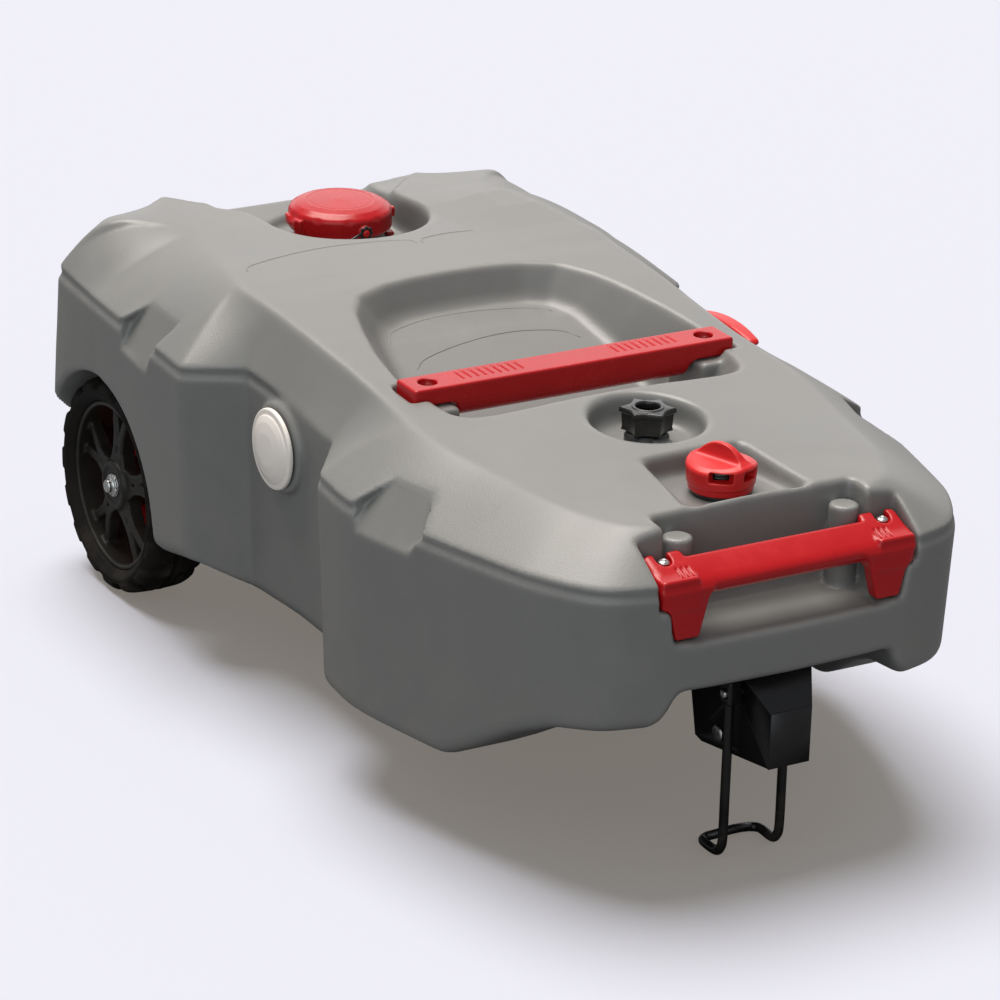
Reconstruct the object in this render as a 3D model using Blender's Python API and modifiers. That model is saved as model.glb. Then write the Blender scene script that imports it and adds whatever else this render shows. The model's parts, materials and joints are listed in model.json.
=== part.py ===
"""Portable waste water tank: a hollow moulded body on two wheels, with caps, valve, handles and a tow stand.

Frame: metres, +Z up, the ground at z = 0, +X towards the nose that is towed, +Y to the valve's side.
The origin is on the ground under the middle of the overall length and width.
"""

import math

import bmesh
import bpy
from mathutils import Matrix, Vector

# Gaps and fits
GAP = 0.0003
RUNNING_GAP = 0.0012
WALL = 0.0045

# Wheels and axle
WHEEL_RADIUS = 0.1016
TYRE_WIDTH = 0.062
TYRE_DEPTH = 0.0225
TRACK_HALF = 0.209
AXLE_X = -0.334
AXLE_RADIUS = 0.00635
AXLE_SLOT_HALF = AXLE_RADIUS + 0.00465
ARCH_CLEAR = 0.0085
ARCH_SIDE_CLEAR = 0.010
ARCH_REAR_RISE = 0.036
BUSH_WALL = 0.0045
HUB_WALL = 0.01215
HUB_RADIUS = AXLE_RADIUS + BUSH_WALL + HUB_WALL
RIM_WALL = 0.004
SPOKES = 5
SPOKE_LEAN = 11
SPOKE_THICK = 0.014
STRAP_Y = 0.110
STRAP_HALF = (0.032, 0.012)
STRAP_STEEL = 0.003

# Heights of the body
FLOOR_Z = 0.085
LOBE_Z = 0.077
NOSE_Z = 0.127
CHANNEL_Z = 0.178
CHANNEL_HALF = 0.092
CHANNEL_BACK_X = 0.205
DRAFT = 0.010
BODY_HALF_LENGTH = 0.5
BODY_HALF_WIDTH = 0.25
FOOT_ROUND = 0.012

# Inlet
INLET_BORE = 0.038
INLET_FLOOR_Z = 0.302
INLET_RECESS_RADIUS = 0.072
COLLAR_WALL = 0.0045
COLLAR_RADIUS = INLET_BORE + COLLAR_WALL
COLLAR_TOP_Z = 0.330
COLLAR_TAIL_Z = 0.2885
FLANGE_THICK = 0.0035
STUD_RADIUS = 0.003
STUD_Z = 0.316
STUD_REACH = 0.0048
INLET_CAP_RADIUS = COLLAR_RADIUS + 0.0055
INLET_CAP_TOP_Z = 0.347
INLET_CAP_SKIRT_Z = 0.321
INLET_SEAL_THICK = 0.002
ARM_IN = COLLAR_RADIUS + STUD_REACH + 0.0012
ARM_OUT = ARM_IN + 0.0035
ARM_LOW_Z = 0.3065
ARM_HIGH_Z = 0.3335
ARM_HALF_ANGLE = 17
KNOB_Z = 0.3275
TETHER_RADIUS = 0.0012

# Rinse port
RINSE_X = 0.211
RINSE_RECESS_RADIUS = 0.047
RINSE_FLOOR_Z = 0.297
RINSE_BORE = 0.0115
RINSE_WALL = 0.003
RINSE_BODY_TOP_Z = 0.3115
RINSE_NUT_HALF = 0.0215
RINSE_NUT_LOBE = 0.0022
RINSE_NUT_LOW_Z = 0.3075
RINSE_NUT_TOP_Z = 0.329

# Vent
VENT_X = 0.326
VENT_FLOOR_Z = 0.2945
VENT_BORE = 0.015
VENT_WALL = 0.003
VENT_NECK_TOP_Z = 0.3165
VENT_SEAL_THICK = 0.0018
VENT_CAP_RADIUS = VENT_BORE + 0.0146
VENT_CAP_TOP_Z = 0.324
VENT_WING_Z = 0.337
VENT_WING_TURN = math.radians(-70)

# Handles
MID_HANDLE_X = 0.080
MID_HANDLE_WIDTH = 0.034
MID_HANDLE_HALF = 0.157
MID_HANDLE_TOP_Z = 0.3275
MID_HANDLE_DEPTH = 0.029
MID_SEAT_DEPTH = 0.0158
MID_SCREW_Y = 0.136
SCREW_HOLE = 0.0030
SCREW_SHANK = 0.0026
POCKET_HALF = 0.124
POCKET_REAR_X = -0.124
POCKET_FRONT_X = 0.1045
FRONT_HANDLE_HALF = 0.120
FRONT_HANDLE_X = 0.435
FRONT_LEG_Y = 0.095
FRONT_LEG_WIDTH = 0.022
FRONT_LEG_Z = 0.2245
FRONT_PAD_X = 0.3985
FRONT_PAD_Y = (0.0848, 0.1192)
FRONT_PAD_Z = 0.2515
FRONT_SCREW_X = 0.4075
FRONT_SCREW_Y = 0.1035
FRONT_SCREW_Z = 0.2795
FRONT_BAR_CUT = 0.0835
SEAT_CLEAR = 0.0012

# Side port on the near waist
PORT_X = -0.044
PORT_Z = 0.237
PORT_RADIUS = 0.036
PORT_FACE_RISE = 0.004
PORT_SEAL_THICK = 0.0015
PORT_SPIGOT = PORT_RADIUS - 0.013
WAIST_Y = 0.209

# Gate valve and outlet on the far waist
OUTLET_X = -0.007
OUTLET_Z = 0.135
OUTLET_BORE = 0.036
SCOOP_Y = 0.180
VALVE_Y = 0.2185
VALVE_HALF = OUTLET_BORE + 0.014
VALVE_THICK = 0.020
VALVE_TOP_Z = 0.262
VALVE_SEAL_WALL = 0.003
VALVE_SEAL_THICK = 0.002
BLADE_THICK = 0.003
BLADE_HALF = OUTLET_BORE + 0.004
STEM_RADIUS = 0.0042
BOLT_RADIUS = 0.0024
T_HANDLE_LENGTH = 0.092
T_HANDLE_Z = 0.284
OUTLET_PIPE = OUTLET_BORE + COLLAR_WALL
OUTLET_SEAL_THICK = 0.0016
OUTLET_CAP_RADIUS = OUTLET_PIPE + 0.0075
OUTLET_END_Y = 0.2525

# Tow bracket and stand
BRACKET_FRONT_X = 0.446
BRACKET_REAR_X = 0.326
BRACKET_HALF = 0.0195
BRACKET_STEEL = 0.003
BRACKET_BOTTOM_Z = 0.096
STAND_X = 0.397
STAND_Z = 0.150
STAND_ROD = 0.004
STAND_HALF = 0.0275
STAND_FOOT = 0.034
PIVOT_RADIUS = 0.004
EYE_HALF = 0.0075
EYE_OUTER = STAND_HALF + STAND_ROD + 0.0015
HITCH_X = 0.371
HITCH_Z = 0.1015
HITCH_RADIUS = 0.004
HITCH_TAIL = 0.002
BRACKET_BOLT_Y = 0.047
BRACKET_BOLT_X = BRACKET_REAR_X + 0.045
BRACKET_BOLT_RADIUS = 0.0042

# The half outline of the body, from the middle of the rear to the middle of the nose.
# Each station: its point on the belt, on the shoulder's knee and on the crease round the top.
STATIONS = (
    ((-0.4460, 0.000, 0.285), (-0.4430, 0.000, 0.303), (-0.4400, 0.000, 0.319)),
    ((-0.4455, 0.072, 0.285), (-0.4425, 0.072, 0.303), (-0.4390, 0.072, 0.320)),
    ((-0.4445, 0.128, 0.285), (-0.4415, 0.128, 0.311), (-0.4360, 0.128, 0.335)),
    ((-0.4410, 0.205, 0.286), (-0.4370, 0.190, 0.316), (-0.4250, 0.134, 0.337)),
    ((-0.4230, 0.241, 0.287), (-0.4130, 0.210, 0.318), (-0.3950, 0.139, 0.337)),
    ((-0.3340, 0.253, 0.287), (-0.3280, 0.206, 0.316), (-0.3210, 0.147, 0.337)),
    ((-0.2680, 0.256, 0.286), (-0.2660, 0.212, 0.314), (-0.2640, 0.161, 0.337)),
    ((-0.2140, 0.258, 0.285), (-0.2145, 0.217, 0.313), (-0.2150, 0.172, 0.338)),
    ((-0.1440, 0.258, 0.282), (-0.1580, 0.221, 0.311), (-0.1730, 0.182, 0.338)),
    ((-0.1090, 0.210, 0.285), (-0.1180, 0.197, 0.311), (-0.1270, 0.182, 0.336)),
    ((-0.0300, 0.209, 0.281), (-0.0440, 0.196, 0.307), (-0.0600, 0.181, 0.332)),
    ((0.0510, 0.211, 0.275), (0.0300, 0.196, 0.301), (0.0090, 0.178, 0.326)),
    ((0.0990, 0.250, 0.269), (0.0850, 0.216, 0.296), (0.0700, 0.178, 0.320)),
    ((0.1600, 0.253, 0.268), (0.1630, 0.217, 0.292), (0.1650, 0.178, 0.313)),
    ((0.2340, 0.238, 0.268), (0.2340, 0.205, 0.290), (0.2340, 0.166, 0.309)),
    ((0.3210, 0.216, 0.270), (0.3170, 0.186, 0.291), (0.3130, 0.151, 0.307)),
    ((0.3720, 0.199, 0.271), (0.3600, 0.171, 0.292), (0.3470, 0.139, 0.306)),
    ((0.4170, 0.169, 0.271), (0.3980, 0.148, 0.292), (0.3780, 0.122, 0.306)),
    ((0.4350, 0.130, 0.272), (0.4150, 0.114, 0.292), (0.3900, 0.096, 0.306)),
    ((0.4430, 0.080, 0.272), (0.4230, 0.072, 0.292), (0.3950, 0.062, 0.306)),
    ((0.4460, 0.000, 0.272), (0.4260, 0.000, 0.292), (0.3970, 0.000, 0.307)),
)
# Height of the ridge along the middle of the top, one for each station.
RIDGE = (
    0.319, 0.320, 0.322, 0.325, 0.329, 0.335, 0.338, 0.340, 0.342, 0.342, 0.339,
    0.332, 0.326, 0.321, 0.317, 0.312, 0.310, 0.308, 0.307, 0.307, 0.307,
)
# Height of the underside, one for each station.
UNDERSIDE = (FLOOR_Z,) * 12 + (LOBE_Z,) * 3 + (0.096,) + (NOSE_Z,) * 5

TAU = math.tau


def start_scene():
    """Empties the scene and returns the collections for the parts and for the cutters."""
    for old in list(bpy.data.objects):
        bpy.data.objects.remove(old)
    groups = []
    for title in ("waste_tank", "cutters"):
        group = bpy.data.collections.new(title)
        bpy.context.scene.collection.children.link(group)
        groups.append(group)
    return groups


PARTS, CUTTERS = start_scene()


def material(name, colour, roughness, metallic=0.0):
    """A plain Principled material."""
    made = bpy.data.materials.new(name)
    made.use_nodes = True
    shader = made.node_tree.nodes["Principled BSDF"]
    shader.inputs["Base Color"].default_value = (*colour, 1.0)
    shader.inputs["Roughness"].default_value = roughness
    shader.inputs["Metallic"].default_value = metallic
    return made


FINISHES = {
    "tank_grey": material("tank_grey", (0.22, 0.23, 0.225), 0.5),
    "red_plastic": material("red_plastic", (0.42, 0.012, 0.016), 0.35),
    "bright_red": material("bright_red", (0.66, 0.012, 0.012), 0.4),
    "black_plastic": material("black_plastic", (0.02, 0.02, 0.021), 0.3),
    "dark_collar": material("dark_collar", (0.06, 0.075, 0.07), 0.5),
    "white_plastic": material("white_plastic", (0.78, 0.78, 0.76), 0.45),
    "rubber": material("rubber", (0.018, 0.017, 0.016), 0.75),
    "rim_black": material("rim_black", (0.025, 0.023, 0.021), 0.4),
    "zinc": material("zinc", (0.62, 0.62, 0.62), 0.35, 1.0),
    "black_steel": material("black_steel", (0.012, 0.012, 0.013), 0.35, 0.2),
    "seal": material("seal", (0.03, 0.03, 0.03), 0.8),
}


def add_mesh(name, mesh, finish=None):
    """An object for a mesh, among the parts if it has a finish and among the cutters if not."""
    made = bpy.data.objects.new(name, mesh)
    if finish:
        mesh.materials.clear()
        mesh.materials.append(FINISHES[finish])
        PARTS.objects.link(made)
    else:
        CUTTERS.objects.link(made)
        hide_tool(made)
    return made


def hide_tool(tool):
    """Marks an object as a cutter or a shape that is joined to another."""
    tool.hide_render = True
    tool.display_type = "WIRE"


def mesh_of(name, build):
    """A mesh filled by build(bmesh)."""
    shape = bmesh.new()
    build(shape)
    bmesh.ops.recalc_face_normals(shape, faces=shape.faces)
    mesh = bpy.data.meshes.new(name)
    shape.to_mesh(mesh)
    shape.free()
    return mesh


def smooth(made, angle=35):
    """Shades the round faces smooth and keeps edges sharper than the angle."""
    made.data.shade_smooth()
    made.data.set_sharp_from_angle(angle=math.radians(angle))
    return made


def box(name, low, high, finish=None):
    """A box between two corners."""
    size = Vector(high) - Vector(low)
    centre = (Vector(high) + Vector(low)) / 2

    def build(shape):
        bmesh.ops.create_cube(shape, size=1.0)
        bmesh.ops.scale(shape, vec=size, verts=shape.verts)

    made = add_mesh(name, mesh_of(name, build), finish)
    made.location = centre
    return made


def block(name, bottom, top, finish=None):
    """A cube whose four bottom and four top corners, each in turn order, are moved to given points."""

    def build(shape):
        bmesh.ops.create_cube(shape, size=2.0)
        for corner in shape.verts:
            ring = bottom if corner.co.z < 0 else top
            turn = {(-1, -1): 0, (1, -1): 1, (1, 1): 2, (-1, 1): 3}
            corner.co = ring[turn[(round(corner.co.x), round(corner.co.y))]]

    return add_mesh(name, mesh_of(name, build), finish)


AXES = {
    "X": Matrix.Rotation(math.radians(90), 4, "Y"),
    "Y": Matrix.Rotation(math.radians(-90), 4, "X"),
    "Z": Matrix.Identity(4),
}


def cylinder(name, radius, start, length, axis="Z", finish=None, sides=24, end_radius=None):
    """A cylinder, or a cone, from its start point along +axis."""

    def build(shape):
        bmesh.ops.create_cone(
            shape,
            cap_ends=True,
            segments=sides,
            radius1=radius,
            radius2=radius if end_radius is None else end_radius,
            depth=length,
        )
        bmesh.ops.translate(shape, vec=(0, 0, length / 2), verts=shape.verts)
        bmesh.ops.transform(shape, matrix=AXES[axis], verts=shape.verts)

    made = add_mesh(name, mesh_of(name, build), finish)
    made.location = start
    if sides > 8:
        smooth(made)
    return made


def turned(name, profile, centre, axis="Z", finish=None, steps=24):
    """A turned shape: a profile of (radius, height) points, outer side top to bottom, spun by Screw."""
    mesh = bpy.data.meshes.new(name)
    points = [(radius, 0.0, height) for radius, height in profile]
    edges = [(i, (i + 1) % len(points)) for i in range(len(points))]
    if profile[0][0] == 0.0:
        edges = edges[:-1]
    mesh.from_pydata(points, edges, [])
    made = add_mesh(name, mesh, finish)
    spin = made.modifiers.new("turn", "SCREW")
    spin.steps = steps
    spin.render_steps = steps
    spin.use_merge_vertices = True
    spin.merge_threshold = 0.00001
    spin.use_smooth_shade = True
    made.matrix_world = Matrix.Translation(centre) @ AXES[axis]
    return made


def ring(name, inner, outer, start, length, axis="Z", finish=None, steps=24):
    """A plain ring or tube, from its start point along +axis."""
    profile = ((outer, length), (outer, 0.0), (inner, 0.0), (inner, length))
    return turned(name, profile, start, axis, finish, steps)


def as_mesh(curve_object, finish=None):
    """A curve object turned into a mesh object with its caps welded."""
    graph = bpy.context.evaluated_depsgraph_get()
    name = curve_object.name
    mesh = bpy.data.meshes.new_from_object(curve_object.evaluated_get(graph))
    place = curve_object.matrix_world.copy()
    bpy.data.objects.remove(curve_object)
    shape = bmesh.new()
    shape.from_mesh(mesh)
    bmesh.ops.remove_doubles(shape, verts=shape.verts, dist=0.00001)
    bmesh.ops.recalc_face_normals(shape, faces=shape.faces)
    shape.to_mesh(mesh)
    shape.free()
    made = add_mesh(name, mesh, finish)
    made.matrix_world = place
    return made


def plate(name, outline, thickness, centre, axis="Z", finish=None):
    """A flat outline in the two axes across the given one, made a plate of a thickness about its centre."""
    curve = bpy.data.curves.new(name, "CURVE")
    curve.dimensions = "2D"
    curve.fill_mode = "BOTH"
    curve.extrude = thickness / 2
    spline = curve.splines.new("POLY")
    spline.points.add(len(outline) - 1)
    for point, (across, up) in zip(spline.points, outline):
        point.co = (across, up, 0.0, 1.0)
    spline.use_cyclic_u = True
    made = bpy.data.objects.new(name, curve)
    CUTTERS.objects.link(made)
    turn = {
        "Z": Matrix.Identity(4),
        "Y": Matrix(((1, 0, 0, 0), (0, 0, 1, 0), (0, 1, 0, 0), (0, 0, 0, 1))),
        "X": Matrix(((0, 0, 1, 0), (1, 0, 0, 0), (0, 1, 0, 0), (0, 0, 0, 1))),
    }[axis]
    made.matrix_world = Matrix.Translation(centre) @ turn
    bpy.context.view_layer.update()
    return as_mesh(made, finish)


def rod(name, points, radius, finish=None, resolution=2):
    """A bent rod along points."""
    curve = bpy.data.curves.new(name, "CURVE")
    curve.dimensions = "3D"
    curve.bevel_depth = radius
    curve.bevel_resolution = resolution
    curve.use_fill_caps = True
    spline = curve.splines.new("POLY")
    spline.points.add(len(points) - 1)
    for point, place in zip(spline.points, points):
        point.co = (*place, 1.0)
    made = bpy.data.objects.new(name, curve)
    CUTTERS.objects.link(made)
    bpy.context.view_layer.update()
    return smooth(as_mesh(made, finish), 50)


def boolean(target, tool, operation):
    """Adds an exact Boolean of the tool to the target."""
    step = target.modifiers.new(tool.name, "BOOLEAN")
    step.object = tool
    step.operation = operation
    step.solver = "EXACT"
    return target


def cut(target, *tools):
    """Cuts each tool out of the target."""
    for tool in tools:
        boolean(target, tool, "DIFFERENCE")
    return target


def join(target, *tools):
    """Adds each tool to the target."""
    for tool in tools:
        boolean(target, tool, "UNION")
    return target


def arc(centre, radius, start, end, count):
    """Points on an arc, by degrees."""
    points = []
    for i in range(count + 1):
        angle = math.radians(start + (end - start) * i / count)
        points.append((centre[0] + radius * math.cos(angle), centre[1] + radius * math.sin(angle)))
    return points


def set_origin(made, point):
    """Moves an object's origin to a point, as on a joint's axis, with its shape left in place."""
    shift = Vector(point) - made.location
    made.data.transform(Matrix.Translation(-shift))
    made.location = point
    return made


def body_loft(name, inset, finish=None):
    """The body between its underside, lower edge, belt, knee and crease outlines and its ridge."""

    def shrink(point, towards):
        """A point moved in from its outline by the wall, in plan and in height."""
        x, y, z = point
        length = math.hypot(x, y) or 1.0
        return (x - inset * x / length, max(y - inset, 0.0) if y else 0.0, z - inset * towards)

    levels = [[], [], [], [], []]
    for (belt, knee, crease), under in zip(STATIONS, UNDERSIDE):
        x, y, z = belt
        base = (x * (1 - DRAFT / BODY_HALF_LENGTH), y * (1 - DRAFT / BODY_HALF_WIDTH), under)
        foot = (base[0] * 0.985, base[1] * 0.96, under)
        edge = (base[0], base[1], under + FOOT_ROUND)
        for level, point, towards in zip(levels, (foot, edge, belt, knee, crease), (-1, -1, 0, 1, 1)):
            level.append(shrink(point, towards))
    ridge = [shrink((crease[0], 0.0, top), 1) for (_, _, crease), top in zip(STATIONS, RIDGE)]
    keel = [(point[0], 0.0, under + inset) for point, under in zip(levels[0], UNDERSIDE)]
    last = len(STATIONS) - 1

    def build(shape):
        def half(points, sign):
            made = []
            for i, (x, y, z) in enumerate(points):
                ends = i in (0, last)
                made.append(None if ends and sign < 0 else shape.verts.new((x, sign * y, z)))
            return made

        sides = {}
        for sign in (1, -1):
            sides[sign] = [half(points, sign) for points in levels]
        for left, right in zip(sides[1], sides[-1]):
            for end in (0, last):
                right[end] = left[end]
        middle_top = [shape.verts.new(point) for point in ridge]
        middle_base = [shape.verts.new(point) for point in keel]
        for end in (0, last):
            shape.verts.remove(middle_top[end])
            shape.verts.remove(middle_base[end])
            middle_top[end] = sides[1][-1][end]
            middle_base[end] = sides[1][0][end]
        for sign in (1, -1):
            rows = [middle_base, *sides[sign], middle_top]
            for lower, upper in zip(rows, rows[1:]):
                for i in range(last):
                    corners = [lower[i], lower[i + 1], upper[i + 1], upper[i]]
                    corners = list(dict.fromkeys(corners))
                    if len(corners) > 2:
                        shape.faces.new(corners)
        bmesh.ops.triangulate(shape, faces=shape.faces)

    made = add_mesh(name, mesh_of(name, build), finish)
    return made


def mirrored(points, sign):
    """Points with their y turned to a side, in the order that keeps a block's corners turning one way."""
    if sign > 0:
        return [Vector(point) for point in points]
    flipped = [Vector((x, -y, z)) for x, y, z in points]
    return [flipped[3], flipped[2], flipped[1], flipped[0]]


def body_cutters(tag, grow):
    """The shapes that the body gives way to, grown by a wall for the cavity inside."""
    tools = []
    wheel_side = TRACK_HALF - TYRE_WIDTH / 2 - ARCH_SIDE_CLEAR
    arch = WHEEL_RADIUS + ARCH_CLEAR
    for side, sign in (("left", 1), ("right", -1)):
        start_y = wheel_side - grow if sign > 0 else -0.32
        tools.append(
            cylinder(
                f"{tag}_arch_{side}",
                arch + grow,
                (AXLE_X, start_y, WHEEL_RADIUS),
                0.32 - wheel_side + grow,
                "Y",
                sides=24,
            )
        )
        low = (AXLE_X - 0.2, wheel_side - grow, 0.0)
        high = (AXLE_X - 0.02, 0.33, WHEEL_RADIUS + ARCH_REAR_RISE + grow)
        if sign < 0:
            low, high = (low[0], -high[1], low[2]), (high[0], -low[1], high[2])
        tools.append(box(f"{tag}_arch_rear_{side}", low, high))
        for place, corners in (("rear", REAR_NOTCH), ("front", FRONT_NOTCH)):
            bottom, top = corners
            bottom = [(x, y - (grow if y < 0.25 else 0), z - grow) for x, y, z in bottom]
            top = [(x, y - (grow if y < 0.25 else 0), z) for x, y, z in top]
            sides = (-grow, grow, grow, -grow)
            bottom = [(x + wider, y, z) for wider, (x, y, z) in zip(sides, bottom)]
            top = [(x + wider, y, z) for wider, (x, y, z) in zip(sides, top)]
            tools.append(
                block(f"{tag}_{place}_notch_{side}", mirrored(bottom, sign), mirrored(top, sign))
            )
    tools += [
        cylinder(
            f"{tag}_inlet_recess",
            INLET_RECESS_RADIUS + grow,
            (AXLE_X, 0, INLET_FLOOR_Z - grow),
            0.08,
            sides=24,
        ),
        inlet_ramp(f"{tag}_inlet_ramp", grow),
        hand_pocket(f"{tag}_hand_pocket", grow),
        cylinder(
            f"{tag}_rinse_recess",
            RINSE_RECESS_RADIUS - 0.006 + grow,
            (RINSE_X, 0, RINSE_FLOOR_Z - grow),
            0.04 + grow,
            sides=24,
            end_radius=RINSE_RECESS_RADIUS + 0.008 + grow,
        ),
        vent_ledge(f"{tag}_vent_ledge", grow),
        nose_pocket(f"{tag}_nose_pocket", grow),
        box(
            f"{tag}_channel",
            (CHANNEL_BACK_X - grow, -CHANNEL_HALF - grow, 0.0),
            (0.60, CHANNEL_HALF + grow, CHANNEL_Z + grow),
        ),
        box(
            f"{tag}_axle_slot",
            (AXLE_X - AXLE_SLOT_HALF - grow, -0.30, 0.0),
            (AXLE_X + AXLE_SLOT_HALF + grow, 0.30, WHEEL_RADIUS + AXLE_RADIUS + GAP + grow),
        ),
        box(
            f"{tag}_valve_scoop",
            (OUTLET_X - VALVE_HALF - 0.012 - grow, SCOOP_Y - grow, 0.0),
            (OUTLET_X + VALVE_HALF + 0.012 + grow, 0.33, VALVE_TOP_Z + 0.007 + grow),
        ),
    ]
    return tools


REAR_NOTCH = (
    ((-0.264, 0.244, 0.257), (-0.212, 0.244, 0.257), (-0.214, 0.290, 0.250), (-0.268, 0.290, 0.250)),
    ((-0.240, 0.226, 0.318), (-0.186, 0.226, 0.318), (-0.190, 0.290, 0.340), (-0.244, 0.290, 0.340)),
)
FRONT_NOTCH = (
    ((0.162, 0.238, 0.238), (0.222, 0.229, 0.238), (0.226, 0.290, 0.232), (0.160, 0.290, 0.232)),
    ((0.178, 0.214, 0.302), (0.240, 0.206, 0.302), (0.246, 0.290, 0.330), (0.176, 0.290, 0.330)),
)


def inlet_ramp(name, grow):
    """The floor behind the inlet, which climbs a little to the open rear edge."""
    front, rear = AXLE_X, -0.470
    low, high = INLET_FLOOR_Z + 0.001 - grow, 0.3185 - grow
    narrow, wide = INLET_RECESS_RADIUS - 0.001 + grow, 0.083 + grow
    bottom = (
        (rear, -wide + 0.008, high),
        (front, -narrow + 0.004, low),
        (front, narrow - 0.004, low),
        (rear, wide - 0.008, high),
    )
    above = 0.40
    top = (
        (rear, -wide - 0.01, above),
        (front, -narrow, above),
        (front, narrow, above),
        (rear, wide + 0.01, above),
    )
    return block(name, bottom, top)


def hand_pocket(name, grow):
    """The deep pocket behind and under the middle handle, a loft from its floor to its rim."""
    rear, front = POCKET_REAR_X - grow, POCKET_FRONT_X + grow
    half = POCKET_HALF + grow
    rim = (
        (rear - 0.002, 0.0, 0.36),
        (rear, 0.060, 0.36),
        (rear + 0.016, 0.104, 0.36),
        (rear + 0.048, half, 0.36),
        (rear + 0.125, half + 0.030, 0.36),
        (MID_HANDLE_X - MID_HANDLE_WIDTH / 2 + 0.002, half + 0.033, 0.36),
        (MID_HANDLE_X - MID_HANDLE_WIDTH / 2 + 0.004, half, 0.36),
        (front, half, 0.36),
    )
    floor = (
        (rear + 0.012, 0.0, 0.310 - grow),
        (rear + 0.014, 0.052, 0.310 - grow),
        (rear + 0.028, 0.088, 0.307 - grow),
        (rear + 0.060, half - 0.026, 0.300 - grow),
        (rear + 0.130, half - 0.018, 0.282 - grow),
        (MID_HANDLE_X - 0.040, half - 0.012, 0.262 - grow),
        (MID_HANDLE_X - 0.010, half - 0.007, 0.256 - grow),
        (front - 0.004, half - 0.006, 0.256 - grow),
    )
    return mirrored_loft(name, floor, rim)


def mirrored_loft(name, floor, rim):
    """A closed loft from a floor outline to a rim outline, each given for y >= 0 and mirrored."""

    def build(shape):
        loops = []
        for outline in (floor, rim):
            left = [shape.verts.new(point) for point in outline]
            right = [shape.verts.new((x, -y, z)) for x, y, z in outline[1:]]
            loops.append(left + right[::-1])
        low, high = loops
        count = len(low)
        for i in range(count):
            shape.faces.new((low[i], low[(i + 1) % count], high[(i + 1) % count], high[i]))
        shape.faces.new(high)
        half = len(floor)
        for i in range(half - 1):
            left_pair = (low[i], low[i + 1])
            right_pair = (low[-i] if i else low[0], low[-i - 1])
            corners = list(dict.fromkeys((*left_pair, right_pair[1], right_pair[0])))
            shape.faces.new(corners)
        bmesh.ops.triangulate(shape, faces=shape.faces)

    return add_mesh(name, mesh_of(name, build))


def vent_ledge(name, grow):
    """The ledge round the vent cap, wide behind and narrowing to the front wall."""
    back, front = VENT_X - 0.043 - grow, 0.364 + grow
    low = VENT_FLOOR_Z - grow
    bottom = (
        (back + 0.006, -0.040 - grow, low),
        (front, -0.052 - grow, low),
        (front, 0.052 + grow, low),
        (back + 0.006, 0.040 + grow, low),
    )
    above = 0.35
    top = (
        (back, -0.052 - grow, above),
        (front, -0.075, above),
        (front, 0.075, above),
        (back, 0.052 + grow, above),
    )
    return block(name, bottom, top)


def nose_pocket(name, grow):
    """The hand space behind and under the front handle, open to the front of the nose."""
    back = 0.368 - grow
    half = 0.098 + grow
    low = FRONT_LEG_Z - 0.0005 - grow
    bottom = (
        (back + 0.010, -half + 0.010, low),
        (0.50, -half + 0.006, low - 0.002),
        (0.50, half - 0.006, low - 0.002),
        (back + 0.010, half - 0.010, low),
    )
    above = 0.35
    top = ((back, -half, above), (0.50, -half, above), (0.50, half, above), (back, half, above))
    return block(name, bottom, top)


def shoulder_seats(tag, grow):
    """The stepped seats that the pads and legs of the front handle lie in."""
    tools = []
    for side, sign in (("left", 1), ("right", -1)):
        inner, outer = 0.070, FRONT_HANDLE_HALF + SEAT_CLEAR + grow
        rear, front = FRONT_PAD_X - 0.0023 - grow, 0.492
        low, high = FRONT_PAD_Z - GAP - grow, 0.352
        corners = ((rear, inner, low), (front, inner, low), (front, outer, low), (rear, outer, low))
        upper = [(x, y, high) for x, y, _ in corners]
        tools.append(block(f"{tag}_pad_seat_{side}", mirrored(corners, sign), mirrored(upper, sign)))
        inner, outer = 0.074, FRONT_LEG_Y + FRONT_LEG_WIDTH / 2 + SEAT_CLEAR + grow
        rear, front, low, high = 0.4198 - grow, 0.484, FRONT_LEG_Z - SEAT_CLEAR - grow, 0.268
        corners = ((rear, inner, low), (front, inner, low), (front, outer, low), (rear, outer, low))
        upper = [(x, y + 0.010, high) for x, y, _ in corners]
        tools.append(block(f"{tag}_leg_seat_{side}", mirrored(corners, sign), mirrored(upper, sign)))
        inner, outer = POCKET_HALF - 0.01, MID_HANDLE_HALF + 0.003 + grow
        half = MID_HANDLE_WIDTH / 2 + 0.001
        start, end = MID_HANDLE_X - half, MID_HANDLE_X + half
        low = MID_HANDLE_TOP_Z - MID_SEAT_DEPTH - grow
        corners = (
            (start - grow, inner, low),
            (end + grow, inner, low),
            (end + grow, outer, low),
            (start - grow, outer, low),
        )
        upper = [(x, y, 0.36) for x, y, _ in corners]
        tools.append(block(f"{tag}_mid_seat_{side}", mirrored(corners, sign), mirrored(upper, sign)))
    return tools


def holes(tag):
    """The holes through the wall for the inlet, vent, rinse and outlet fittings and the side port."""
    return [
        cylinder(f"{tag}_inlet_hole", COLLAR_RADIUS + GAP, (AXLE_X, 0, 0.28), 0.05, sides=24),
        cylinder(f"{tag}_vent_hole", VENT_BORE + VENT_WALL + GAP, (VENT_X, 0, 0.28), 0.04, sides=24),
        cylinder(f"{tag}_rinse_hole", RINSE_BORE + RINSE_WALL + GAP, (RINSE_X, 0, 0.28), 0.04, sides=24),
        cylinder(
            f"{tag}_outlet_hole",
            OUTLET_PIPE + GAP,
            (OUTLET_X, SCOOP_Y - 0.02, OUTLET_Z),
            0.03,
            "Y",
            sides=24,
        ),
        cylinder(
            f"{tag}_port_hole",
            PORT_SPIGOT + 0.005 + GAP,
            (PORT_X, -WAIST_Y - 0.02, PORT_Z),
            0.04,
            "Y",
            sides=24,
        ),
    ]


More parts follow.
